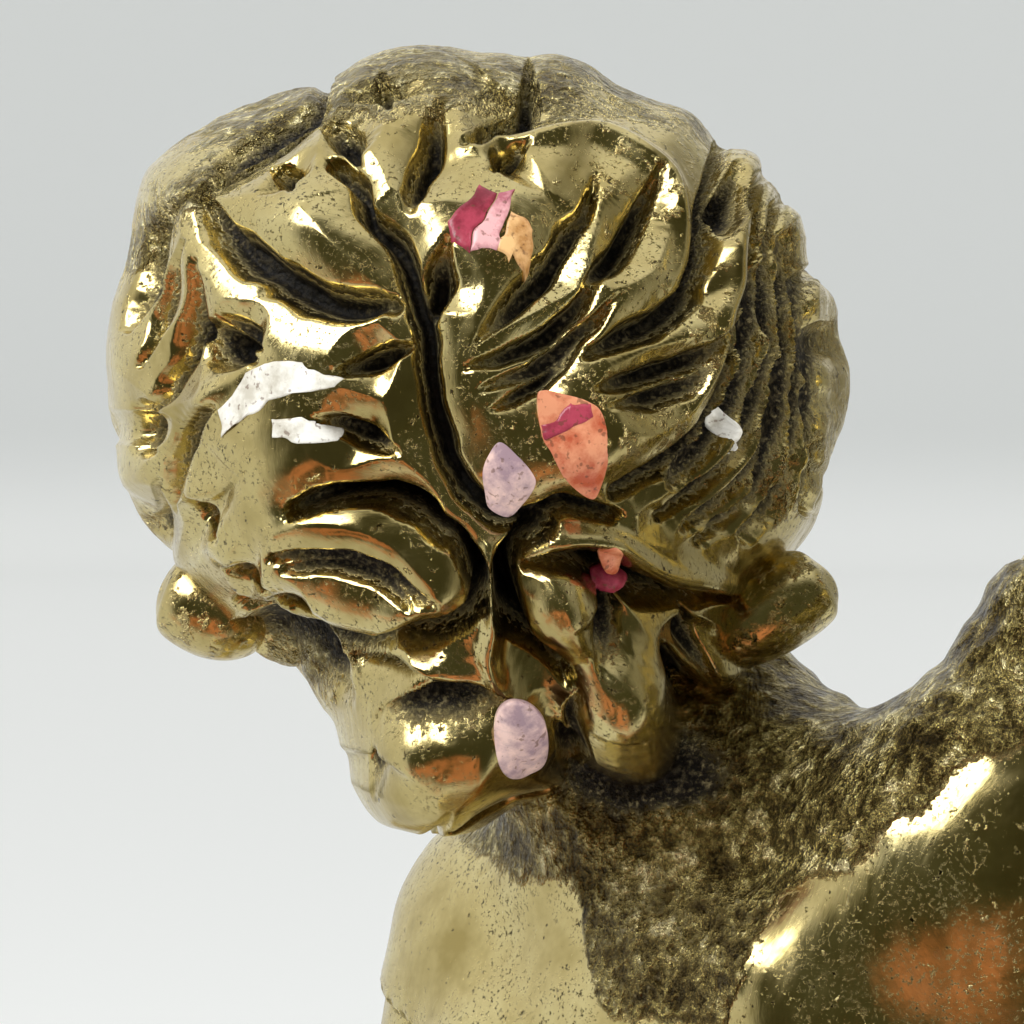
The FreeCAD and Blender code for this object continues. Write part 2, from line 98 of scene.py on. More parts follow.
def rounded_path(points: Array, per_span: int = 6) -> Array:
    """Catmull-Rom curve through points: each span is the cubic that the four nearest points give.

    Args:
        points: (n, k) corners of the path.
        per_span: samples on each span.

    Returns:
        (m, k) points along the curve.
    """
    p = np.asarray(points, dtype=float)
    p = np.vstack([2 * p[0] - p[1], p, 2 * p[-1] - p[-2]])
    t = np.linspace(0.0, 1.0, per_span, endpoint=False)[:, None, None]
    a, b, c, d = p[:-3], p[1:-2], p[2:-1], p[3:]
    curve = 0.5 * (2 * b + (c - a) * t + (2 * a - 5 * b + 4 * c - d) * t**2
                   + (3 * b - a - 3 * c + d) * t**3)
    return np.vstack([curve.transpose(1, 0, 2).reshape(-1, p.shape[1]), p[-2:-1]])


def lumps(points: Array, grain: float, seed: int = 0) -> Array:
    """Value noise: random numbers on a cubic lattice, blended smoothly between its corners.

    Args:
        points: (n, 3) places.
        grain: lattice spacing in millimetres.
        seed: picks another set of random numbers.

    Returns:
        (n,) numbers from -1 to 1.
    """
    q = points / grain
    cell = np.floor(q).astype(np.int64)
    f = q - cell
    f = f * f * (3.0 - 2.0 * f)
    total = np.zeros(len(points))
    for corner in range(8):
        o = np.array([corner & 1, corner >> 1 & 1, corner >> 2 & 1])
        c = cell + o
        code = (c * LATTICE_FACTORS).sum(axis=1) + seed * SEED_FACTOR
        code = (code ^ (code >> 13)) * SCATTER_FACTOR & 0x7FFFFFFF
        code = (code ^ (code >> 11)) & 0xFFFF
        share = np.prod(np.where(o, f, 1.0 - f), axis=1)
        total += share * (code / 32767.5 - 1.0)
    return total


def grain_noise(points: Array, grain: float, octaves: int = 3, seed: int = 0) -> Array:
    """Sum of value noises, each half the grain and half the height of the one before."""
    return sum(lumps(points, grain / 2**k, seed + k) / 2**k for k in range(octaves))


def stroke_distance(points: Array, path: Array) -> tuple[Array, Array, Array]:
    """Distance from points to a path of straight spans.

    Args:
        points: (n, k) places, k = 2 or 3.
        path: (m, k) corners of the path.

    Returns:
        Distance, share of the way along the path from 0 to 1, and in two dimensions the side (+1 on the
        left of the path, -1 on the right), each (n,).
    """
    best = np.full(len(points), 1e9)
    along = np.zeros(len(points))
    side = np.ones(len(points))
    spans = path[1:] - path[:-1]
    lengths = np.linalg.norm(spans, axis=1)
    starts = np.concatenate([[0.0], np.cumsum(lengths)])
    for k, (span, length) in enumerate(zip(spans, lengths)):
        rel = points - path[k]
        t = np.clip(rel @ span / max(length * length, 1e-12), 0.0, 1.0)
        gap = rel - t[:, None] * span
        squared = np.einsum("ij,ij->i", gap, gap)
        nearer = squared < best
        best = np.where(nearer, squared, best)
        along = np.where(nearer, (starts[k] + t * length) / starts[-1], along)
        if points.shape[1] == 2:
            cross = span[0] * rel[:, 1] - span[1] * rel[:, 0]
            side = np.where(nearer, np.sign(cross), side)
    return np.sqrt(best), along, side


# ---------------------------------------------------------------------------------------------- meshes


def put_mesh(name: str, points: Array, faces: list[Array], attributes: dict[str, Array] | None = None,
             normals: Array | None = None) -> bpy.types.Object:
    """Makes an object from points in millimetres and arrays of faces.

    Args:
        name: object's name.
        points: (n, 3) places.
        faces: arrays (m, 3) or (m, 4) of point numbers.
        attributes: numbers per point that the materials read.
        normals: (n, 3) shading normals, where the faces' own ones would show a seam.

    Returns:
        The new object, linked to the scene, at the origin.
    """
    mesh = bpy.data.meshes.new(name)
    sizes = np.concatenate([np.full(len(f), f.shape[1]) for f in faces])
    loops = np.concatenate([f.ravel() for f in faces]).astype(np.int32)
    mesh.vertices.add(len(points))
    mesh.vertices.foreach_set("co", (np.asarray(points) * MM).ravel().astype(np.float32))
    mesh.loops.add(len(loops))
    mesh.loops.foreach_set("vertex_index", loops)
    mesh.polygons.add(len(sizes))
    starts = np.concatenate([[0], np.cumsum(sizes)[:-1]]).astype(np.int32)
    mesh.polygons.foreach_set("loop_start", starts)
    mesh.polygons.foreach_set("use_smooth", np.ones(len(sizes), dtype=bool))
    mesh.update(calc_edges=True)
    if normals is not None:
        mesh.normals_split_custom_set_from_vertices(normals.tolist())
    for key, values in (attributes or {}).items():
        layer = mesh.attributes.new(key, "FLOAT", "POINT")
        layer.data.foreach_set("value", np.asarray(values, dtype=np.float32))
    piece = bpy.data.objects.new(name, mesh)
    bpy.context.scene.collection.objects.link(piece)
    return piece


def grid_faces(rows: int, columns: int, wrap: bool = False) -> Array:
    """Four-sided faces of a grid of points numbered row by row.

    Args:
        rows: number of rows.
        columns: points in a row.
        wrap: whether the last column joins the first.

    Returns:
        (m, 4) point numbers.
    """
    i = np.arange(rows - 1)[:, None]
    j = np.arange(columns if wrap else columns - 1)[None, :]
    k = (j + 1) % columns
    near, far = i * columns, (i + 1) * columns
    quads = np.stack([near + j, near + k, far + k, far + j], axis=-1)
    return quads.reshape(-1, 4)


def tube_object(name: str, rings: Array, attributes: dict[str, Array] | None = None) -> bpy.types.Object:
    """Closed object from rings of points, each ring a row, with a point in the middle of each end.

    Args:
        name: object's name.
        rings: (rows, columns, 3) places; seen from the far end, each ring runs anticlockwise.
        attributes: numbers per ring point, (rows, columns).

    Returns:
        The new object.
    """
    rows, columns, _ = rings.shape
    ends = np.stack([rings[0].mean(axis=0), rings[-1].mean(axis=0)])
    points = np.vstack([rings.reshape(-1, 3), ends])
    j = np.arange(columns)
    k = (j + 1) % columns
    near = np.stack([k, j, np.full(columns, rows * columns)], axis=1)
    last = (rows - 1) * columns
    far = np.stack([last + j, last + k, np.full(columns, rows * columns + 1)], axis=1)
    values = {}
    for key, grid in (attributes or {}).items():
        values[key] = np.concatenate([grid.ravel(), [grid[0].mean(), grid[-1].mean()]])
    return put_mesh(name, points, [grid_faces(rows, columns, wrap=True), near, far], values)


def surface_net(name: str, values: Array, corner: Array, step: float) -> tuple[Array, Array]:
    """Surface where a field on a cubic grid passes zero, one point per cell that it passes through.

    Each point is the mean of the places where the cell's twelve edges cross zero, and each edge that
    crosses zero gives one four-sided face between the four cells round it.

    Args:
        name: piece's name, for the message if the field never crosses zero.
        values: (nx, ny, nz) field, negative inside.
        corner: (3,) place of the first sample.
        step: distance between samples.

    Returns:
        (n, 3) points and (m, 4) faces.
    """
    shape = np.array(values.shape) - 1
    total = np.zeros((*shape, 3))
    count = np.zeros(shape)
    inside = values < 0
    for axis in range(3):
        low = [slice(None)] * 3
        high = [slice(None)] * 3
        low[axis], high[axis] = slice(None, -1), slice(1, None)
        a, b = values[tuple(low)], values[tuple(high)]
        crosses = inside[tuple(low)] != inside[tuple(high)]
        t = np.where(crosses, a / np.where(crosses, a - b, 1.0), 0.0)
        others = [k for k in range(3) if k != axis]
        for u in (0, 1):
            for v in (0, 1):
                pick = [slice(None)] * 3
                pick[others[0]] = slice(u, values.shape[others[0]] - 1 + u)
                pick[others[1]] = slice(v, values.shape[others[1]] - 1 + v)
                hit = crosses[tuple(pick)]
                count += hit
                total[..., axis] += np.where(hit, t[tuple(pick)], 0.0)
                total[..., others[0]] += hit * u
                total[..., others[1]] += hit * v
    used = count > 0
    if not used.any():
        raise ValueError(f"{name}: the field never crosses zero")
    number = np.full(shape, -1)
    number[used] = np.arange(used.sum())
    cells = np.argwhere(used)
    points = corner + step * (cells + total[used] / count[used][:, None])
    faces = []
    for axis in range(3):
        low = [slice(1, -1)] * 3
        high = [slice(1, -1)] * 3
        low[axis], high[axis] = slice(None, -1), slice(1, None)
        a, b = inside[tuple(low)], inside[tuple(high)]
        place = np.argwhere(a != b)
        leaves = a[tuple(place.T)]
        others = [(axis + 1) % 3, (axis + 2) % 3]
        base = place.copy()
        base[:, others[0]] += 1
        base[:, others[1]] += 1
        ring = []
        for u, v in ((-1, -1), (0, -1), (0, 0), (-1, 0)):
            cell = base.copy()
            cell[:, others[0]] += u
            cell[:, others[1]] += v
            ring.append(number[tuple(cell.T)])
        quad = np.stack(ring, axis=1)
        faces.append(np.where(leaves[:, None], quad, quad[:, ::-1]))
    return points, np.vstack(faces)


# ------------------------------------------------------------------------------------------- materials


def linear(code: str) -> tuple[float, float, float, float]:
    """An sRGB hex colour, such as "b08d57", as linear numbers with alpha 1."""
    channels = [int(code[k:k + 2], 16) / 255.0 for k in (0, 2, 4)]
    return tuple(c / 12.92 if c <= 0.04045 else ((c + 0.055) / 1.055) ** 2.4 for c in channels) + (1.0,)


# Settings that many nodes share: a smooth, clamped map of a range, and a mix of two colours.
SMOOTH_MAP = {"interpolation_type": "SMOOTHSTEP"}
COLOUR_MIX = {"data_type": "RGBA", "output": 2}


def add_node(tree: bpy.types.NodeTree, kind: str, *values: object, output: int | str = 0,
             stops: list[tuple[float, str]] | None = None, **settings: object) -> Socket | None:
    """Adds a node, sets its properties, fills or links its inputs and picks one of its outputs.

    Args:
        tree: node tree to add to.
        kind: node's type name without the leading "ShaderNode".
        values: value or output socket for each of its first inputs, in order.
        output: number or name of the output to give.
        stops: (position, sRGB hex) pairs, in order, for a node with a colour ramp.
        settings: the node's own properties, such as its operation, and its other inputs, by name with
            underscores for spaces or by number with "i" before it, such as i6.

    Returns:
        The output, whose .node is the new node, or None for a node without outputs.
    """
    node = tree.nodes.new("ShaderNode" + kind)
    inputs = dict(enumerate(values))
    for key, value in settings.items():
        if hasattr(node, key):
            setattr(node, key, value)
        elif key[0] == "i" and key[1:].isdigit():
            inputs[int(key[1:])] = value
        else:
            inputs[key.replace("_", " ")] = value
    for key, value in inputs.items():
        if isinstance(value, Socket):
            tree.links.new(value, node.inputs[key])
        else:
            node.inputs[key].default_value = value
    if stops:
        elements = node.color_ramp.elements
        elements[0].position, elements[0].color = stops[0][0], linear(stops[0][1])
        elements[1].position, elements[1].color = stops[-1][0], linear(stops[-1][1])
        for position, code in stops[1:-1]:
            elements.new(position).color = linear(code)
    return node.outputs[output] if node.outputs else None


def new_material(name: str) -> tuple[bpy.types.Material, Callable[..., Socket | None]]:
    """An empty node material.

    Args:
        name: material's name.

    Returns:
        The material, and add_node for its tree.
    """
    material = bpy.data.materials.new(name)
    material.use_nodes = True
    material.node_tree.nodes.clear()
    return material, partial(add_node, material.node_tree)


@dataclass(frozen=True)
class CastBrass:
    """Sand-cast yellow brass, filed and polished on what stands out.

    The eye sees a warm, slightly hazy mirror on the high places, peppered with pinholes; an olive-brown,
    sandy casting skin where only a brush went; and black-brown in the grooves, partly patina and partly
    painted shade, going near black as painted shadow where they are deepest.

    Attributes:
        name: material's name.
        has_recess: whether its pieces carry the two attributes that place dirt and casting skin.
        polish_roughness: least roughness of the polish.
        grain_mm: size of the dirt's grains.
        pit_mm: spacing of the pinholes.
        speckle_mm: spacing of the finest pinholes.
        sand_mm: size of the casting sand's marks.
        cloud_mm: size of the patches in the casting skin.
        blotch_mm: size of the tarnish clouds.
        scratch_mm: length of the polishing marks; drawn coarser than real ones, to show.
    """

    name: str = "cast, polished brass"
    has_recess: bool = True
    polish_roughness: float = 0.14
    grain_mm: float = 0.15
    pit_mm: float = 0.30
    speckle_mm: float = 0.11
    sand_mm: float = 0.42
    cloud_mm: float = 1.7
    blotch_mm: float = 2.6
    scratch_mm: float = 1.4

    def masks(self, add: Callable[..., Socket | None]) -> tuple[Socket, Socket]:
        """The two attributes that place groove patina with painted shade and casting skin, or zeros if none.

        Args:
            add: add_node for the material's tree.

        Returns:
            Recess (patina and painted shade) and cast skin.
        """
        if not self.has_recess:
            zero = add("Value")
            zero.default_value = 0.0
            return zero, zero
        return tuple(add("Attribute", attribute_name=key, output="Fac") for key in ("recess", "cast_skin"))

    def material(self) -> bpy.types.Material:
        """Builds the material.

        Returns:
            The finished material.
        """
        material, add = new_material(self.name)
        place = add("TexCoord", output="Object")
        recess, skin = self.masks(add)
        stretched = add("Mapping", place, Rotation=(0.5, 0.4, 0.9), Scale=(1.0, 9.0, 1.0))
        grain, sand, blotch, pits, speckle, cloud, scratch = (
            add("TexNoise", where, Scale=1.0 / (size * MM), Detail=4.0, Roughness=rough)
            for where, size, rough in (
                (place, self.grain_mm, 0.6), (place, self.sand_mm, 0.7), (place, self.blotch_mm, 0.6),
                (place, self.pit_mm, 0.7), (place, self.speckle_mm, 0.75), (place, self.cloud_mm, 0.6),
                (stretched, self.scratch_mm, 0.7),
            )
        )
        # patina and painted shade in the grooves and the rough casting skin, both with grainy edges
        edge = add("Math", add("Math", grain, 0.5, operation="SUBTRACT"), 1.1, operation="MULTIPLY")
        deep = add("Math", recess, edge, operation="ADD")
        patina_and_shade = add("MapRange", deep, 0.28, 0.72, **SMOOTH_MAP)
        sandy = add("Math", add("Math", sand, 0.5, operation="SUBTRACT"), 1.6, operation="MULTIPLY")
        rough_cast = add("Math", skin, sandy, operation="ADD")
        rough_cast = add("MapRange", rough_cast, 0.25, 0.75, **SMOOTH_MAP)
        # pinholes, with finer ones in patches
        fine = add("Math", add("MapRange", speckle, 0.58, 0.64, **SMOOTH_MAP),
                   add("MapRange", blotch, 0.42, 0.60, **SMOOTH_MAP), operation="MULTIPLY")
        speck = add("Math", add("MapRange", pits, 0.64, 0.68, **SMOOTH_MAP), fine, operation="MAXIMUM")
        brass = add("ValToRGB", blotch,
                    stops=[(0.30, "ac9a60"), (0.48, "cbba80"), (0.62, "d8c990"), (0.75, "bba86a")])
        wide = add("Math", add("Math", sand, 0.6, operation="MULTIPLY"),
                   add("Math", cloud, 0.4, operation="MULTIPLY"), operation="ADD")
        sandskin = add("ValToRGB", wide,
                       stops=[(0.38, "352b17"), (0.46, "6e6038"), (0.54, "a3955f"), (0.61, "e2d6a4")])
        # near-black to brown: groove patina, with painted shade
        dark = add("ValToRGB", grain,
                   stops=[(0.38, "080705"), (0.50, "1d1810"), (0.60, "50462c"), (0.74, "a5966a")])
        colour = add("Mix", rough_cast, i6=brass, i7=sandskin, **COLOUR_MIX)
        colour = add("Mix", add("Math", speck, 0.8, operation="MULTIPLY"), i6=colour, i7=linear("33280f"),
                     **COLOUR_MIX)
        colour = add("Mix", patina_and_shade, i6=colour, i7=dark, **COLOUR_MIX)
        # painted shadow: near black where the grooves are deepest
        painted_shadow = add("MapRange", deep, 0.85, 1.25, **SMOOTH_MAP)
        colour = add("Mix", painted_shadow, i6=colour, i7=linear("050403"), **COLOUR_MIX)
        metal = add("Math", 1.0, add("Math", patina_and_shade, 0.7, operation="MULTIPLY"), operation="SUBTRACT")
        polish = add("MapRange", scratch, 0.35, 0.75, self.polish_roughness, self.polish_roughness + 0.14,
                     **SMOOTH_MAP)
        rough = add("Mix", rough_cast, i6=polish, i7=(0.18, 0.18, 0.18, 1.0), **COLOUR_MIX)
        rough = add("Mix", patina_and_shade, i6=rough, i7=(0.62, 0.62, 0.62, 1.0), **COLOUR_MIX)
        relief = add("Math", grain, patina_and_shade, operation="MULTIPLY")
        for height in (
            add("Math", sand, add("Math", rough_cast, 3.2, operation="MULTIPLY"), operation="MULTIPLY"),
            add("Math", speck, -0.30, operation="MULTIPLY"),
            add("Math", blotch, 0.25, operation="MULTIPLY"),
            add("Math", scratch, 0.05, operation="MULTIPLY"),
        ):
            relief = add("Math", relief, height, operation="ADD")
        bump = add("Bump", Height=relief, Strength=0.9, Distance=0.12 * MM)
        add("OutputMaterial",
            add("BsdfPrincipled", Base_Color=colour, Metallic=metal, Roughness=rough, Normal=bump))
        return material


@dataclass(frozen=True)
class PlainFinish:
    """A finish of one colour family: noise moves its shade and roughness, and a light grain its surface.

    It suits plated steel (soft grey sheen with faint yellow), sheet rubber (matt black with dust) and
    vulcanised fibre (dull brick red).
    """

    name: str
    dark: str
    light: str
    metallic: float
    roughness: float
    grain_mm: float
    relief_mm: float = 0.01
    cloud_mm: float = 6.0

    def material(self) -> bpy.types.Material:
        """Builds the material.

        Returns:
            The finished material.
        """
        material, add = new_material(self.name)
        place = add("TexCoord", output="Object")
        grain = add("TexNoise", place, Scale=1.0 / (self.grain_mm * MM), Detail=4.0, Roughness=0.6)
        cloud = add("TexNoise", place, Scale=1.0 / (self.cloud_mm * MM), Detail=3.0)
        shade = add("Math", add("Math", grain, 0.5, operation="MULTIPLY"),
                    add("Math", cloud, 0.5, operation="MULTIPLY"), operation="ADD")
        colour = add("ValToRGB", shade, stops=[(0.38, self.dark), (0.62, self.light)])
        rough = add("MapRange", shade, 0.3, 0.7, self.roughness - 0.06, self.roughness + 0.10, **SMOOTH_MAP)
        bump = add("Bump", Height=grain, Strength=0.5, Distance=self.relief_mm * MM)
        add("OutputMaterial",
            add("BsdfPrincipled", Base_Color=colour, Metallic=self.metallic, Roughness=rough, Normal=bump))
        return material


@dataclass(frozen=True)
class LacquerSpot:
    """A dried drop of varnish or wax: a smooth, half-glossy film with a ragged shade and flecks of dirt."""

    name: str
    dark: str
    light: str
    roughness: float = 0.25
    cloud_mm: float = 0.9
    fleck_mm: float = 0.16

    def material(self) -> bpy.types.Material:
        """Builds the material.

        Returns:
            The finished material.
        """
        material, add = new_material(self.name)
        place = add("TexCoord", output="Object")
        cloud = add("TexNoise", place, Scale=1.0 / (self.cloud_mm * MM), Detail=5.0, Roughness=0.65)
        fleck = add("TexNoise", place, Scale=1.0 / (self.fleck_mm * MM), Detail=2.0)
        fleck = add("Math", add("MapRange", fleck, 0.60, 0.68, **SMOOTH_MAP), 0.6, operation="MULTIPLY")
        colour = add("ValToRGB", cloud, stops=[(0.40, self.dark), (0.60, self.light)])
        colour = add("Mix", fleck, i6=colour, i7=linear("5a3a28"), **COLOUR_MIX)
        bump = add("Bump", Height=cloud, Strength=0.6, Distance=0.05 * MM)
        add("OutputMaterial", add("BsdfPrincipled", Base_Color=colour, Roughness=self.roughness, IOR=1.47,
                                  Normal=bump))
        return material


class Finish(Enum):
    """The finishes of the ornament's pieces."""

    FIGURE = CastBrass()
    TURNED = CastBrass(name="cast and turned, polished brass", has_recess=False, polish_roughness=0.12)
    DOWEL = PlainFinish("drawn brass rod", "a5803c", "cfae66", 1.0, 0.3, 0.3)
    ZINC = PlainFinish("zinc-plated steel", "8d8a80", "bdb9ab", 1.0, 0.38, 0.4)
    SPRING = PlainFinish("blackened spring steel", "1d1d20", "3a393b", 1.0, 0.42, 0.4)
    RUBBER = PlainFinish("black sheet rubber", "0f0f10", "242424", 0.0, 0.78, 0.25, 0.02)
    FIBRE = PlainFinish("dark red vulcanised fibre", "4a1711", "6b2a1e", 0.0, 0.66, 0.3, 0.015)
    WAX = LacquerSpot("dried white wax", "b9b3a4", "e6e3da", 0.38)
    RED = LacquerSpot("dried red varnish", "6c1c2a", "a03a4c")
    PINK = LacquerSpot("dried pink varnish", "9c5460", "d8a4a4")
    AMBER = LacquerSpot("thin amber varnish", "a87844", "dcb078")
    LILAC = LacquerSpot("dried lilac wax", "957c84", "dab8ae", 0.35)
    ORANGE = LacquerSpot("dried coral varnish", "a84e32", "d08a66")


MATERIALS: dict[Finish, bpy.types.Material] = {}


def finish_material(finish: Finish) -> bpy.types.Material:
    """The one material made for a finish."""
    if finish not in MATERIALS:
        MATERIALS[finish] = finish.value.material()
    return MATERIALS[finish]


def dress(piece: bpy.types.Object, finish: Finish) -> bpy.types.Object:
    """Gives a piece one material.

    Args:
        piece: new piece or CAD node.
        finish: finish to give it.

    Returns:
        The same piece.
    """
    material = finish_material(finish)
    if piece.material_slots:
        for holder in piece.material_slots:
            holder.material = material
    else:
        piece.data.materials.append(material)
    return piece


# ------------------------------------------------------------------------------------------------ hair


class Cut(Enum):
    """Kinds of groove between the locks: half-width and depth in millimetres."""

    PART = (0.27, 0.95)
    TROUGH = (0.34, 0.90)
    LEAF = (0.25, 0.80)
    STRAND = (0.18, 0.65)
    FINE = (0.13, 0.45)
    CREVICE = (0.34, 1.90)


@dataclass(frozen=True)
class Groove:
    """One groove, drawn as a stroke that swells in its middle.

    Attributes:
        cut: kind of groove.
        path: corners of the stroke in millimetres from the head's centre, on the plane through that centre
            that faces the back viewpoint.
        left: factor on the width of the left bank of the stroke; a wide bank is a slope.
        right: factor on the width of the right bank.
        swell: how soon it swells; near 0 for a groove that keeps its width to its ends.
    """

    cut: Cut
    path: tuple[tuple[float, float], ...]
    left: float = 1.0
    right: float = 1.0
    swell: float = 0.8


@dataclass(frozen=True)
class Ridge:
    """A rounded crest along a stroke on the same plane."""

    path: tuple[tuple[float, float], ...]
    half: float
    rise: float


@dataclass(frozen=True)
class Lobe:
    """A rounded swelling of the hair.

    Attributes:
        centre: place on the same plane as the grooves.
        half: half-width and half-height before the turn.
        rise: height of its middle.
        turn: turn in degrees, anticlockwise seen from behind.
        crisp: 1 for a soft swelling, more for a flat top with steep sides.
    """

    centre: tuple[float, float]
    half: tuple[float, float]
    rise: float
    turn: float = 0.0
    crisp: float = 1.0


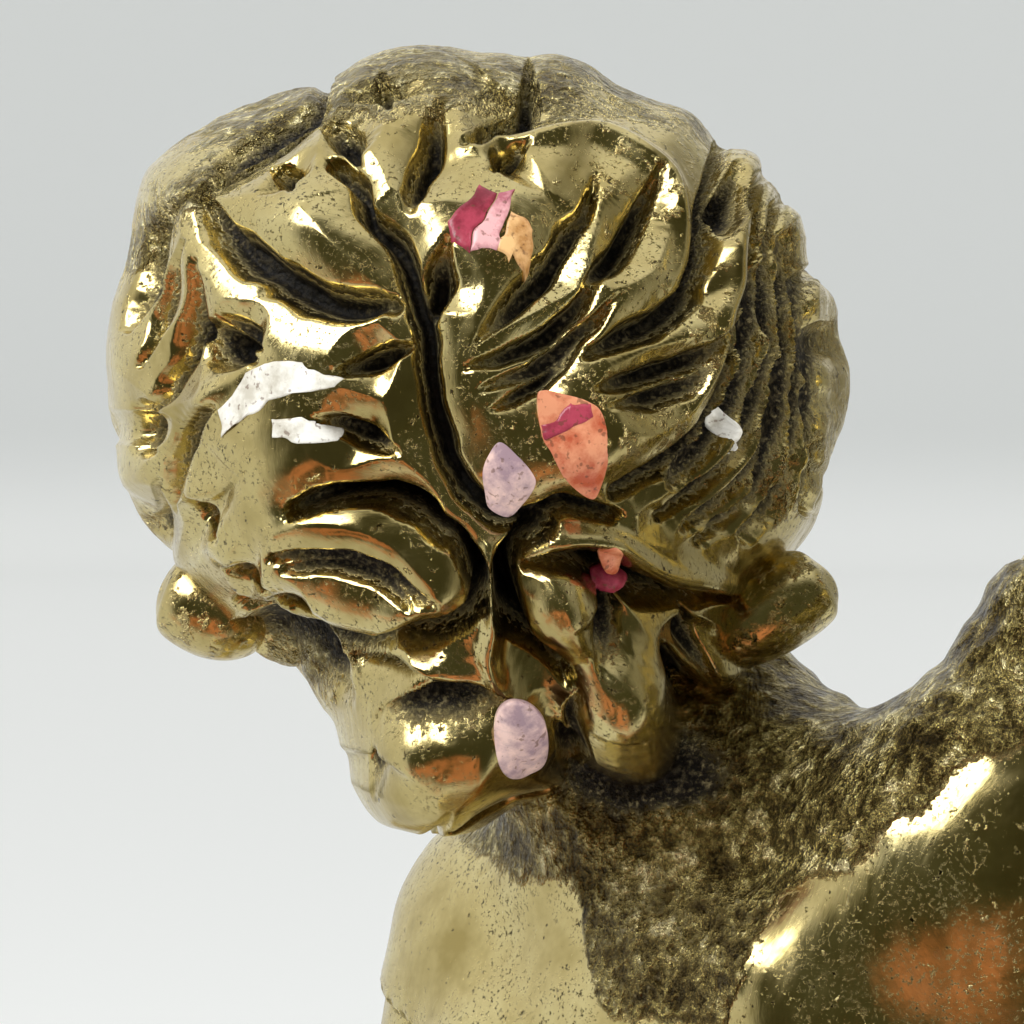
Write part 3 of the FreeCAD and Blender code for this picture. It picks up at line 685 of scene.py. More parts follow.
BACK_GROOVES = (
    # the parting and its side channel
    Groove(Cut.PART, ((-3.55, 5.8), (-3.0, 5.3), (-2.85, 4.6), (-2.2, 4.1), (-1.9, 3.4), (-1.65, 2.5),
        (-1.4, 1.7), (-1.3, 0.5), (-1.2, -0.3), (-0.8, -1.4), (-0.45, -2.25), (0.15, -2.9), (0.8, -3.15),
        (1.6, -2.9), (2.2, -2.65), (3.4, -2.9)), 1.1, 0.8, 0.2),
    Groove(Cut.TROUGH, ((-0.8, 3.9), (-1.0, 3.2), (-1.15, 2.6), (-1.35, 1.8))),
    # the wide trough and the leaves of the upper left
    Groove(Cut.TROUGH, ((-6.8, 5.0), (-6.2, 4.2), (-5.4, 3.55), (-4.5, 2.95), (-3.55, 2.55),
        (-2.2, 2.55)), 0.8, 1.5, 0.3),
    Groove(Cut.LEAF, ((-5.25, 5.85), (-4.8, 5.6), (-4.5, 5.15))),
    Groove(Cut.LEAF, ((-3.95, 6.9), (-3.2, 6.5), (-2.95, 5.8))),
    Groove(Cut.LEAF, ((-0.95, 7.3), (-1.2, 6.5), (-1.55, 5.5), (-1.7, 4.8)), 1.3, 1.1),
    Groove(Cut.LEAF, ((-0.35, 6.4), (0.05, 6.6), (0.4, 6.9), (1.2, 7.3), (1.25, 8.3)), 0.8, 1.2),
    Groove(Cut.STRAND, ((1.25, 6.4), (0.8, 6.1), (0.4, 5.7)), 1.0, 1.3),
    Groove(Cut.LEAF, ((-2.35, 8.0), (-2.2, 7.2)), 1.2, 1.2),
    Groove(Cut.FINE, ((-6.5, 5.9), (-6.1, 6.35), (-5.2, 6.95), (-4.35, 7.4), (-3.75, 8.0)),
        1.5, 1.5, 0.2),
    Groove(Cut.FINE, ((-6.8, 5.3), (-5.8, 6.1), (-4.8, 6.75), (-3.8, 7.35)), 1.8, 1.2, 0.2),
    # left side
    Groove(Cut.LEAF, ((-7.2, 5.05), (-7.9, 4.55), (-8.3, 3.8), (-8.5, 2.95), (-8.8, 1.75)), 1.0, 1.0),
    Groove(Cut.STRAND, ((-7.3, 3.9), (-7.8, 3.2), (-8.1, 2.35), (-8.3, 1.5), (-8.4, 0.9))),
    Groove(Cut.LEAF, ((-7.0, 3.5), (-7.15, 2.6), (-7.3, 1.9), (-7.5, 1.1), (-7.8, 0.25), (-8.3, -0.5)),
        0.8, 1.1),
    Groove(Cut.TROUGH, ((-8.35, -0.3), (-8.4, -1.2)), 0.9, 0.9, 0.2),
    Groove(Cut.TROUGH, ((-7.15, 1.95), (-6.4, 1.45), (-5.6, 1.0)), 1.1, 1.5),
    Groove(Cut.FINE, ((-6.5, 2.1), (-5.4, 1.25)), 1.8, 1.2),
    Groove(Cut.LEAF, ((-6.5, -0.2), (-7.15, -0.8), (-7.45, -1.6), (-7.6, -2.7)), 1.0, 1.4),
    Groove(Cut.LEAF, ((-7.05, -2.3), (-6.8, -2.75), (-6.2, -3.25)), 0.9, 1.0),
    Groove(Cut.FINE, ((-8.0, -2.0), (-8.1, -3.2), (-7.7, -4.2))),
    # slots that end at the parting
    Groove(Cut.STRAND, ((-3.6, 0.65), (-2.6, 1.1), (-1.6, 1.45)), 1.0, 1.6),
    Groove(Cut.STRAND, ((-4.0, -0.45), (-3.1, -0.75), (-2.05, -1.25)), 1.1, 1.7),
    # locks that sweep from the right side down to the parting
    Groove(Cut.STRAND, ((2.95, 5.45), (2.8, 4.65), (2.5, 4.2), (1.9, 3.2), (0.95, 2.3), (0.05, 1.4)),
        0.6, 2.6),
    Groove(Cut.LEAF, ((4.35, 5.6), (4.1, 4.65), (3.5, 3.7), (2.7, 2.85)), 1.2, 1.0),
    Groove(Cut.STRAND, ((3.2, 3.2), (1.9, 1.8), (0.65, 1.1), (-0.3, 0.8)), 1.4, 0.9),
    Groove(Cut.FINE, ((3.45, 2.6), (2.65, 1.85), (1.55, 0.95), (0.05, 0.3)), 2.6, 1.0),
    Groove(Cut.LEAF, ((6.0, 6.3), (5.85, 5.2), (5.75, 4.2), (5.5, 3.2), (5.3, 2.65), (4.65, 2.15),
        (3.9, 1.8), (2.9, 1.2)), 1.5, 0.9, 0.3),
    Groove(Cut.STRAND, ((6.4, 1.8), (5.9, 1.3), (5.0, 0.9), (4.2, 0.6), (2.95, 0.3)), 1.7, 1.0),
    Groove(Cut.FINE, ((6.0, 1.05), (5.4, 0.45), (4.5, 0.1), (3.3, -0.1)), 2.5, 1.2),
    Groove(Cut.FINE, ((2.5, 1.3), (1.6, 0.5), (0.3, -0.2)), 1.8, 1.0),
    # strands down the right side
    Groove(Cut.LEAF, ((6.45, 5.8), (6.4, 5.0), (6.3, 4.1)), 1.1, 1.1),
    Groove(Cut.LEAF, ((6.95, 5.4), (7.0, 4.0), (7.0, 2.95), (6.75, 2.2), (6.6, 1.4), (6.45, 0.5),
        (6.1, -0.3), (5.5, -1.15), (4.5, -1.8), (3.5, -2.3)), 1.1, 0.9, 0.15),
    Groove(Cut.STRAND, ((7.3, 3.4), (7.25, 2.2), (7.1, 1.4), (7.0, 0.45), (6.5, -0.5), (5.9, -1.3),
        (5.0, -2.0)), 1.8, 1.2, 0.2),
    Groove(Cut.STRAND, ((7.5, 4.9), (7.6, 3.6), (7.7, 2.4), (7.7, 1.3), (7.5, 0.2), (7.1, -0.8),
        (6.5, -1.65), (5.5, -2.35), (4.6, -2.9)), 1.3, 1.0, 0.15),
    Groove(Cut.STRAND, ((7.9, 4.2), (8.1, 2.9), (8.2, 1.6), (8.2, 0.5), (8.0, -0.9), (7.4, -2.3),
        (6.5, -3.1), (5.6, -3.55)), 1.2, 1.0, 0.15),
    Groove(Cut.STRAND, ((8.05, 1.0), (7.85, -0.3), (7.3, -1.6), (6.3, -2.6), (5.3, -3.1)), 1.8, 1.0, 0.2),
    Groove(Cut.STRAND, ((8.35, 3.2), (8.6, 1.6), (8.6, 0.3), (8.45, -0.9), (8.1, -2.0), (7.5, -2.9),
        (6.8, -3.5)), 1.2, 1.0, 0.15),
    Groove(Cut.STRAND, ((8.8, 1.9), (8.95, 0.2), (8.75, -1.6), (8.3, -2.8)), 1.0, 1.0, 0.2),
    # the roll at the lower left, with its slots and the strand under it
    Groove(Cut.CREVICE, ((-4.3, -2.6), (-3.5, -2.4), (-2.5, -2.4), (-1.7, -2.7), (-1.0, -3.2),
        (-0.35, -3.75), (0.0, -4.5), (-0.15, -5.1), (-0.7, -5.6), (-1.5, -5.9), (-2.1, -5.8)),
        0.9, 0.6, 0.3),
    Groove(Cut.CREVICE, ((-2.5, -5.6), (-1.8, -5.8), (-1.1, -5.8), (-0.4, -5.5), (0.1, -4.9)), 1.3, 1.0),
    Groove(Cut.STRAND, ((-5.0, -5.35), (-3.9, -5.75), (-2.8, -5.75)), 1.2, 1.2),
    Groove(Cut.FINE, ((-4.7, -3.6), (-3.7, -3.6), (-2.7, -3.8), (-1.9, -4.2), (-1.1, -4.75)),
        1.2, 1.9, 0.3),
    Groove(Cut.FINE, ((-4.4, -3.85), (-3.4, -3.9), (-2.5, -4.15), (-1.6, -4.75)), 1.0, 1.0, 0.3),
    Groove(Cut.LEAF, ((-5.95, -4.05), (-5.5, -4.2), (-4.95, -4.45)), 0.9, 0.9),
    Groove(Cut.LEAF, ((-5.1, -5.0), (-4.5, -4.85), (-3.7, -5.1)), 0.8, 0.8),
    Groove(Cut.LEAF, ((-5.9, -5.0), (-4.6, -5.65), (-3.5, -6.0), (-2.2, -6.0)), 0.9, 1.0, 0.25),
    Groove(Cut.TROUGH, ((-6.0, -5.8), (-5.0, -6.1), (-4.2, -6.5), (-3.4, -7.2)), 1.5, 1.3, 0.4),
    Groove(Cut.LEAF, ((-3.3, -6.35), (-2.3, -6.55), (-1.2, -6.7)), 0.8, 1.2),
    # the curl right of the middle and the strand over it
    Groove(Cut.CREVICE, ((1.7, -3.15), (0.85, -3.7), (0.62, -4.4), (0.7, -5.15), (1.1, -5.9),
        (2.0, -6.45)), 0.9, 0.7, 0.25),
    Groove(Cut.CREVICE, ((1.15, -4.15), (1.9, -3.95), (2.7, -4.05), (3.4, -4.4), (4.0, -4.7),
        (4.9, -4.88), (6.4, -4.85)), 0.55, 1.1),
    Groove(Cut.LEAF, ((3.05, -4.7), (3.15, -5.4), (2.75, -6.1)), 1.6, 0.8),
    # nape curls
    Groove(Cut.LEAF, ((-2.3, -7.45), (-1.25, -7.2), (-0.3, -7.1), (0.7, -7.15)), 0.7, 2.0),
    Groove(Cut.STRAND, ((-2.35, -8.0), (-2.3, -8.7)), 1.3, 1.3),
    Groove(Cut.CREVICE, ((-0.6, -9.5), (0.5, -9.4), (1.8, -9.2)), 0.6, 0.8),
    Groove(Cut.TROUGH, ((-1.5, -10.0), (-1.0, -10.25)), 0.9, 0.9),
    Groove(Cut.TROUGH, ((1.9, -7.6), (2.35, -8.3), (2.2, -9.1)), 0.7, 1.1),
    Groove(Cut.FINE, ((2.3, -6.6), (2.15, -7.3), (2.45, -8.0), (2.6, -8.8)), 1.0, 1.0),
    Groove(Cut.LEAF, ((4.4, -6.0), (4.7, -6.6), (5.0, -7.1), (5.5, -7.6)), 1.3, 0.9),
    Groove(Cut.STRAND, ((5.2, -5.2), (5.15, -5.9), (5.4, -6.5)), 1.0, 1.0),
)

BACK_RIDGES = (
    Ridge(((-0.65, 6.2), (0.78, 6.55), (1.9, 6.6), (3.0, 6.48), (4.1, 5.95), (4.8, 5.3), (5.2, 4.35),
        (5.2, 3.4), (4.85, 2.6)), 0.24, 0.34),
    Ridge(((6.8, 6.6), (6.75, 5.2), (6.6, 4.3), (6.45, 2.9), (6.3, 1.9), (6.05, 0.9), (5.5, 0.1)),
        0.30, 0.40),
    Ridge(((0.35, -3.4), (0.25, -4.4), (0.4, -5.4), (0.3, -6.3), (0.5, -7.0)), 0.22, 0.50),
    Ridge(((1.1, -3.75), (2.0, -3.45), (3.2, -3.5), (4.6, -4.3), (6.5, -4.7)), 0.30, 0.45),
    Ridge(((-4.8, -5.3), (-3.5, -6.15), (-2.3, -6.35), (-0.9, -6.65), (0.2, -6.8)), 0.22, 0.40),
    Ridge(((-6.0, 0.9), (-6.6, 0.2), (-6.95, -0.6), (-7.1, -1.5), (-6.7, -2.6), (-6.0, -3.6),
        (-5.0, -4.5)), 0.40, 0.30),
)

BACK_LOBES = (
    Lobe((-4.0, 4.3), (1.9, 1.2), 0.35, 10),
    Lobe((-2.5, 6.3), (1.3, 1.2), 0.25),
    Lobe((-4.6, -1.9), (1.7, 1.2), 0.35),
    Lobe((-2.9, -4.1), (2.9, 1.5), 1.00, -12, 1.7),
    Lobe((2.0, -5.25), (0.95, 0.95), 0.80, 0, 1.6),
    Lobe((-0.6, -8.6), (2.5, 1.55), 1.45, 6, 1.6),
    Lobe((3.4, -7.4), (1.45, 1.45), 1.60, 0, 1.8),
    Lobe((6.0, -6.5), (0.9, 0.8), 1.00, 0, 1.5),
    Lobe((4.0, -5.9), (1.0, 0.7), 0.30),
    Lobe((3.0, -1.3), (1.8, 0.9), 0.30, 20),
)

# Outline of the hair seen from behind: degrees anticlockwise from the figure's right, and radius.
OUTLINE = (
    (0, 9.1), (5, 9.15), (10, 8.95), (16, 9.2), (22, 8.95), (29, 9.25), (35, 9.0), (42, 8.9), (47, 8.6),
    (53, 8.7), (60, 8.35), (65, 8.25), (71, 8.5), (77, 8.6), (82, 8.4), (90, 8.35), (97, 8.6),
    (104, 8.75), (112, 8.65), (121, 8.95), (128, 9.15), (135, 9.45), (146, 9.8), (155, 9.6), (165, 9.3),
    (178, 9.0), (186, 8.95), (192, 9.0), (199, 8.7), (205, 8.6), (212, 8.3), (220, 8.2), (228, 8.2),
    (236, 8.2), (246, 8.5), (253, 9.3), (259, 10.2), (265, 10.5), (271, 10.3), (279, 9.7), (286, 9.3),
    (293, 9.5), (299, 9.4), (305, 9.0), (312, 8.7), (318, 8.4), (325, 8.2), (335, 8.6), (345, 9.05),
)


@dataclass
class Hair:
    """Short hair of the head, as one radius for each direction from the head's centre."""

    depth_back: float = 9.2
    depth_front: float = 8.6
    widest_turn: float = 100.0
    plump: float = 0.55

    def outline(self, angle: Array) -> Array:
        """Outline radius: straight runs between the listed places, averaged over a few degrees.

        Args:
            angle: radians anticlockwise from the figure's right, seen from behind.

        Returns:
            Radius in millimetres.
        """
        degrees, radii = np.array(OUTLINE, dtype=float).T
        fine = np.arange(-30.0, 390.0, 1.0)
        table = np.interp(fine % 360.0, degrees, radii, period=360.0)
        kernel = np.hanning(7)
        table = np.convolve(table, kernel / kernel.sum(), mode="same")
        return np.interp(np.degrees(angle) % 360.0, fine[20:-20], table[20:-20])

    def bare_radius(self, way: Array) -> Array:
        """Radius before any relief: half an ellipse behind and half in front, through the outline.

        Args:
            way: (n, 3) unit directions from the head's centre.

        Returns:
            (n,) radii in millimetres.
        """
        across = np.hypot(way[:, 0], way[:, 2])
        rim = self.outline(np.arctan2(way[:, 2], way[:, 0]))
        depth = np.where(way[:, 1] < 0, self.depth_back, self.depth_front)
        return 1.0 / np.sqrt((way[:, 1] / depth) ** 2 + (across / rim) ** 2)

    def drawing_place(self, points: Array) -> Array:
        """Where points, seen from the back viewpoint, fall on the plane through the head's centre."""
        scale = VIEW_DISTANCE / (VIEW_DISTANCE + points[:, 1])
        return VIEW_CENTRE + (points[:, [0, 2]] - VIEW_CENTRE) * scale[:, None]

    def back_relief(self, drawn: Array) -> tuple[Array, Array]:
        """Height of the relief drawn from behind.

        Lobes and crests are added up. Between the grooves the locks are plump: they fall away to the
        nearest groove as a bell curve does. Each groove has a flat floor and a steep or sloping bank on
        each side.

        Args:
            drawn: (n, 2) places on the drawing plane.

        Returns:
            Height in millimetres, and how deep in a groove each place is, from 0 to 1.
        """
        flat = np.column_stack([drawn, np.zeros(len(drawn))])
        height = np.zeros(len(drawn))
        for lobe in BACK_LOBES:
            turn = math.radians(lobe.turn)
            rel = drawn - np.array(lobe.centre)
            along = (rel[:, 0] * math.cos(turn) + rel[:, 1] * math.sin(turn)) / lobe.half[0]
            over = (rel[:, 1] * math.cos(turn) - rel[:, 0] * math.sin(turn)) / lobe.half[1]
            height += lobe.rise * np.exp(-((along**2 + over**2) ** lobe.crisp))
        shaken = drawn + 0.055 * np.column_stack([lumps(flat, 0.7, seed) for seed in (3, 4)])
        for ridge in BACK_RIDGES:
            distance, along, _ = stroke_distance(shaken, rounded_path(np.array(ridge.path)))
            taper = np.clip(np.sin(np.pi * np.clip(along, 0.01, 0.99)), 0, 1) ** 0.5
            height += ridge.rise * taper * np.exp(-((distance / ridge.half) ** 2))
        deepest = np.zeros(len(drawn))
        nearest = np.full(len(drawn), 9.0)
        recess = np.zeros(len(drawn))
        width_noise = 1.0 + 0.22 * lumps(flat, 0.5, 5)
        for groove in BACK_GROOVES:
            path = rounded_path(np.array(groove.path))
            margin = 2.0
            near = ((shaken > path.min(axis=0) - margin) & (shaken < path.max(axis=0) + margin)).all(axis=1)
            if not near.any():
                continue
            distance, along, side = stroke_distance(shaken[near], path)
            half, depth = groove.cut.value
            swell = np.clip(np.sin(np.pi * np.clip(along, 0.02, 0.98)), 0, 1) ** groove.swell
            bank = np.where(side > 0, groove.left, groove.right) * half * (0.3 + 0.7 * swell)
            inner = distance / (bank * width_noise[near])
            share = (1.0 - smooth(0.35, 1.45, inner)) * swell**0.7
            deepest[near] = np.minimum(deepest[near], -depth * share)
            # recess: the material darkens it as patina with painted shade in the grooves
            recess[near] = np.maximum(recess[near], share**1.2 * min(1.4, 0.65 + 0.45 * depth))
            rim = np.maximum(distance - 0.5 * bank, 0.0) + 1.2 * (1.0 - swell)
            nearest[near] = np.minimum(nearest[near], rim)
        height += self.plump * (1.0 - np.exp(-((nearest / 0.75) ** 1.4)))
        return height + deepest - 0.35, recess

    def side_relief(self, way: Array) -> tuple[Array, Array]:
        """Strands of the sides, top and front: waves across a flow that falls away from the crown.

        Args:
            way: (n, 3) directions from the head's centre.

        Returns:
            Height and depth in a groove, as in back_relief.
        """
        lean = np.arctan2(way[:, 0] + 0.25, way[:, 2] + 0.35)
        drop = np.arccos(np.clip(way[:, 1], -1, 1))
        bend = 0.35 * lumps(way * 9.0, 4.5, 11) + 0.12 * lumps(way * 9.0, 1.7, 12)
        phase = lean * 11.0 + 1.6 * np.sin(drop * 2.2) + bend * 6.0
        wave = np.abs((phase / np.pi) % 2.0 - 1.0)
        crest = 1.0 - (1.0 - wave) ** 2
        valley = smooth(0.26, 0.04, wave)
        # the valleys' recess is darkened in the material as patina with painted shade
        return 0.60 * (crest - 0.6) - 0.40 * valley, 0.8 * valley

    def skin(self, drawn: Array, share: Array, points: Array) -> Array:
        """Casting skin: on the crown, along the right-hand strands and by the nape, patchy everywhere.

        Args:
            drawn: (n, 2) places on the drawing plane.
            share: 1 where the back drawing holds, 0 where the sides take over.
            points: (n, 3) places on the head.

        Returns:
            (n,) numbers from 0 to 1.
        """
        crown = smooth(6.3, 8.0, drawn[:, 1] + 0.35 * np.abs(drawn[:, 0] + 0.5) ** 1.1 * 0.3)
        strands = 0.25 * smooth(6.5, 7.6, drawn[:, 0]) * smooth(-4.2, -2.5, drawn[:, 1])
        sweep = 0.16 * smooth(0.0, 4.0, drawn[:, 0]) * smooth(-3.4, -1.0, drawn[:, 1])
        nape = 0.75 * np.exp(-(((drawn[:, 0] + 4.6) / 1.5) ** 2 + ((drawn[:, 1] + 6.5) / 0.9) ** 2))
        from_band = drawn[:, 1] - 6.3 - 0.75 * (drawn[:, 0] + 5.6)
        band = 0.6 * np.exp(-((from_band / 0.7) ** 2)) * (drawn[:, 0] < -3.4)
        total = np.max([0.65 * crown, strands, sweep, band, nape, 0.45 * (1.0 - share)], axis=0)
        return np.clip(total + 0.30 * grain_noise(points, 1.4, 3, 41) * smooth(0.0, 0.4, total), 0.0, 1.0)

    def radius(self, way: Array) -> tuple[Array, Array, Array]:
        """Radius of the finished hair.

        Args:
            way: (n, 3) unit directions from the head's centre.

        Returns:
            Radius in millimetres, recess and cast skin, each (n,).
        """
        bare = self.bare_radius(way)
        points = way * bare[:, None]
        drawn = self.drawing_place(points)
        back_height, back_recess = self.back_relief(drawn)
        side_height, side_recess = self.side_relief(way)
        share = smooth(0.04, -0.16, way[:, 1])
        height = share * back_height + (1.0 - share) * side_height
        recess = share * back_recess + (1.0 - share) * side_recess
        skin = self.skin(drawn, share, points)
        rough = grain_noise(points, 0.45, 3, 21)
        height += 0.05 * rough * np.maximum(recess, 0.9 * skin) + 0.03 * lumps(points, 1.1, 31)
        under = smooth(0.15, 0.75, way[:, 1]) * smooth(0.35, -0.15, way[:, 2])
        height -= 2.6 * under
        return bare + height, recess, skin


@dataclass
class HeadPatch:
    """One patch of the hair: a sector of the head, closed by flat faces that meet at its centre.

    Attributes:
        name: object's name.
        low: least value of the patch's first number.
        high: greatest value of it.
        front: whether the patch is the one round the front pole.
        rows: samples along the first number.
        columns: samples along the second.
    """

    name: str
    low: float
    high: float
    front: bool
    rows: int
    columns: int

    def directions(self, widest_turn: float) -> Array:
        """Directions of the patch: a square mapped to a disc, and the disc wrapped round a pole.

        The square has one extra row and column of places beyond each edge, so that the normals at the edge
        are those of the whole head.

        Args:
            widest_turn: degrees from the back pole to the patch's edge.

        Returns:
            (rows + 2, columns + 2, 3) unit directions.
        """
        row_step = (self.high - self.low) / (self.rows - 1)
        column_step = 2.0 / (self.columns - 1)
        u = np.linspace(self.low - row_step, self.high + row_step, self.rows + 2)[:, None]
        v = np.linspace(-1.0 - column_step, 1.0 + column_step, self.columns + 2)[None, :]
        x = u * np.sqrt(1.0 - v * v / 2.0)
        y = v * np.sqrt(1.0 - u * u / 2.0)
        reach = np.hypot(x, y)
        limit = math.radians(180.0 - widest_turn if self.front else widest_turn)
        turn = limit * (0.80 * reach + 0.20 * reach**3)
        angle = np.arctan2(y, x)
        pole = 1.0 if self.front else -1.0
        across = np.sin(turn)
        return np.stack([across * np.cos(angle), pole * np.cos(turn), across * np.sin(angle)], -1)

    def build(self, hair: Hair) -> bpy.types.Object:
        """Samples the hair over the patch and closes it.

        Args:
            hair: the shape to sample.

        Returns:
            The new object.
        """
        way = self.directions(hair.widest_turn)
        flat = way.reshape(-1, 3)
        radius, recess, skin = hair.radius(flat)
        wide = (flat * radius[:, None]).reshape(way.shape)
        along = wide[2:, 1:-1] - wide[:-2, 1:-1]
        across = wide[1:-1, 2:] - wide[1:-1, :-2]
        normals = unit(np.cross(along, across)).reshape(-1, 3)
        inner = wide[1:-1, 1:-1].reshape(-1, 3)
        normals *= np.sign(np.einsum("ij,ij->i", normals, inner))[:, None]
        n, m = self.rows, self.columns
        faces = grid_faces(n, m)
        number = np.arange(n * m).reshape(n, m)
        rim = np.concatenate([number[0, :-1], number[:-1, -1], number[-1, :0:-1], number[:0:-1, 0]])
        fan = np.stack([np.roll(rim, -1), rim, np.full(len(rim), n * m)], axis=1)
        faces, fan = (faces, fan[:, [1, 0, 2]]) if self.front else (faces[:, ::-1], fan)
        points = np.vstack([inner, np.zeros((1, 3))]) + HEAD_CENTRE
        values = {}
        for key, grid in (("recess", recess), ("cast_skin", skin)):
            values[key] = np.append(grid.reshape(n + 2, m + 2)[1:-1, 1:-1].ravel(), 0.0)
        return put_mesh(self.name, points, [faces, fan], values, np.vstack([normals, [[0.0, 1.0, 0.0]]]))


@dataclass
class Head:
    """The head: hair, face and ears, all of the body's one casting."""

    hair: Hair = field(default_factory=Hair)
    face_centre: tuple[float, float, float] = (0.3, 2.3, -3.0)
    face_half: tuple[float, float, float] = (6.3, 6.6, 7.0)
    face_lift: float = 14.0

    def hair_patches(self) -> list[bpy.types.Object]:
        """The three patches of the hair.

        Returns:
            The new objects.
        """
        fine = 1.0
        half = int(215 * fine)
        patches = (
            HeadPatch("hair_left", -1.0, 0.0, False, half, 2 * half),
            HeadPatch("hair_right", 0.0, 1.0, False, half, 2 * half),
            HeadPatch("hair_front", -1.0, 1.0, True, int(150 * fine), int(150 * fine)),
        )
        return [patch.build(self.hair) for patch in patches]

    def face(self) -> bpy.types.Object:
        """Calm generic child's face: an ellipsoid with soft swellings and hollows added along the radius.

        Returns:
            The new object.
        """
        rows, columns = 220, 260
        latitude = np.linspace(-math.pi / 2, math.pi / 2, rows)[1:-1][:, None]
        longitude = np.linspace(0.0, 2.0 * math.pi, columns, endpoint=False)[None, :]
        crowd = longitude - 0.45 * np.sin(2 * (longitude - math.pi / 2)) * 0.5
        way = np.stack([np.cos(latitude) * np.cos(crowd), np.cos(latitude) * np.sin(crowd),
                        np.sin(latitude) + 0.0 * crowd], axis=-1)
        half = np.array(self.face_half)
        radius = 1.0 / np.sqrt((way / half) ** 2 @ np.ones(3))
        points = way * radius[..., None]
        x, z = np.abs(points[..., 0]), points[..., 2]
        front = smooth(0.0, 0.45, way[..., 1])

        def swell(cx: float, cz: float, wx: float, wz: float, rise: float) -> Array:
            """One soft swelling, the same on both sides of the face."""
            return rise * np.exp(-(((x - cx) / wx) ** 2 + ((z - cz) / wz) ** 2))

        # forehead, then sockets, eyeballs, lids, lid line and brows
        relief = swell(0, 3.0, 4.2, 1.6, 0.25)
        relief += swell(2.5, 0.9, 1.7, 1.1, -0.95)
        relief += swell(2.5, 0.75, 1.05, 0.72, 0.62)
        relief += swell(2.5, 1.35, 1.25, 0.16, 0.22) + swell(2.5, 0.18, 1.15, 0.13, 0.14)
        relief += swell(2.5, 0.78, 1.2, 0.10, -0.12)
        relief += swell(2.7, 2.35, 1.7, 0.35, 0.22)
        # bridge and tip of the nose, its wings and nostrils, and the cheeks
        relief += swell(0, 0.2, 0.55, 1.7, 0.75) + swell(0, -1.55, 0.72, 0.75, 1.35)
        relief += swell(0.75, -1.75, 0.42, 0.42, 0.35) + swell(0.42, -2.1, 0.22, 0.16, -0.35)
        relief += swell(3.4, -1.6, 2.0, 1.9, 0.55)
        # lips, the line between them, the dip above, the corners, the dip below and the chin
        relief += swell(0, -3.35, 1.25, 0.30, 0.48) + swell(0, -4.05, 1.0, 0.36, 0.55)
        relief += swell(0, -3.68, 1.35, 0.10, -0.30) + swell(0, -2.75, 0.22, 0.45, -0.18)
        relief += swell(1.5, -3.7, 0.28, 0.3, -0.2) + swell(0, -4.75, 0.9, 0.3, -0.35)
        relief += swell(0, -5.9, 1.7, 1.1, 0.75)
        points = points + way * (relief * front)[..., None]
        jaw = smooth(-1.0, -8.0, points[..., 2])
        points[..., 0] *= 1.0 - 0.20 * jaw
        a = math.radians(self.face_lift)
        lift = np.array([[1, 0, 0], [0, math.cos(a), -math.sin(a)], [0, math.sin(a), math.cos(a)]])
        points = points @ lift.T + np.array(self.face_centre) + HEAD_CENTRE
        # recess: darkens the sockets, nostrils and lip lines as patina with painted shade
        recess = np.clip(smooth(-0.10, -0.55, relief), 0, 1) * front
        skin = 0.35 * smooth(0.1, -0.4, way[..., 1])
        return tube_object("face", points, {"recess": recess, "cast_skin": skin + 0 * recess})

    def ear(self, name: str, sign: float, centre: Array, half: Array, roll: float) -> bpy.types.Object:
        """An ear: a flat ellipsoid whose outer side has a raised rim and a hollow.

        Args:
            name: object's name.
            sign: +1 for the figure's right, -1 for the left.
            centre: place from the head's centre.
            half: half-sizes: sideways, front to back and up.
            roll: lean in degrees towards the head, about the front-to-back axis.

        Returns:
            The new object.
        """
        rows, columns = 60, 90
        latitude = np.linspace(-math.pi / 2, math.pi / 2, rows)[1:-1][:, None]
        longitude = np.linspace(0.0, 2.0 * math.pi, columns, endpoint=False)[None, :]
        across = np.sin(latitude) + 0 * longitude
        forward = np.cos(latitude) * np.cos(longitude)
        up = np.cos(latitude) * np.sin(longitude)
        reach = np.hypot(forward, up)
        outer = smooth(0.0, 0.4, across)
        hollow = np.exp(-(((forward - 0.25) / 0.34) ** 2 + ((up + 0.05) / 0.5) ** 2))
        rim = np.exp(-((reach - 0.82) / 0.16) ** 2)
        lift = outer * (0.10 * rim - 0.85 * hollow)
        wx, wy, wz = half
        local = np.stack([sign * (across + lift) * wx, forward * wy, up * wz * (1 + 0.12 * up)], axis=-1)
        a = math.radians(roll) * sign
        turn = np.array([[math.cos(a), 0, -math.sin(a)], [0, 1, 0], [math.sin(a), 0, math.cos(a)]])
        points = local @ turn.T + centre + HEAD_CENTRE
        if sign > 0:
            points = points[:, ::-1]
            hollow = hollow[:, ::-1]
        # recess: darkens the ear's hollow as patina with painted shade
        recess = np.clip(hollow * outer, 0, 1)
        return tube_object(name, points, {"recess": recess, "cast_skin": 0.2 + 0 * recess})

    def build(self) -> list[bpy.types.Object]:
        """Builds and dresses the head.

        Returns:
            Its pieces.
        """
        pieces = self.hair_patches()
        pieces.append(self.face())
        for name, sign, centre, half, roll in (
            ("ear_right", 1.0, (7.05, -2.0, -5.3), (2.0, 1.7, 1.2), 28.0),
            ("ear_left", -1.0, (-6.6, 0.2, -5.2), (1.55, 1.8, 1.45), 20.0),
        ):
            pieces.append(self.ear(name, sign, np.array(centre), np.array(half), roll))
        for piece in pieces:
            dress(piece, Finish.FIGURE)
        return pieces


# ------------------------------------------------------------------------------------- limbs and trunk


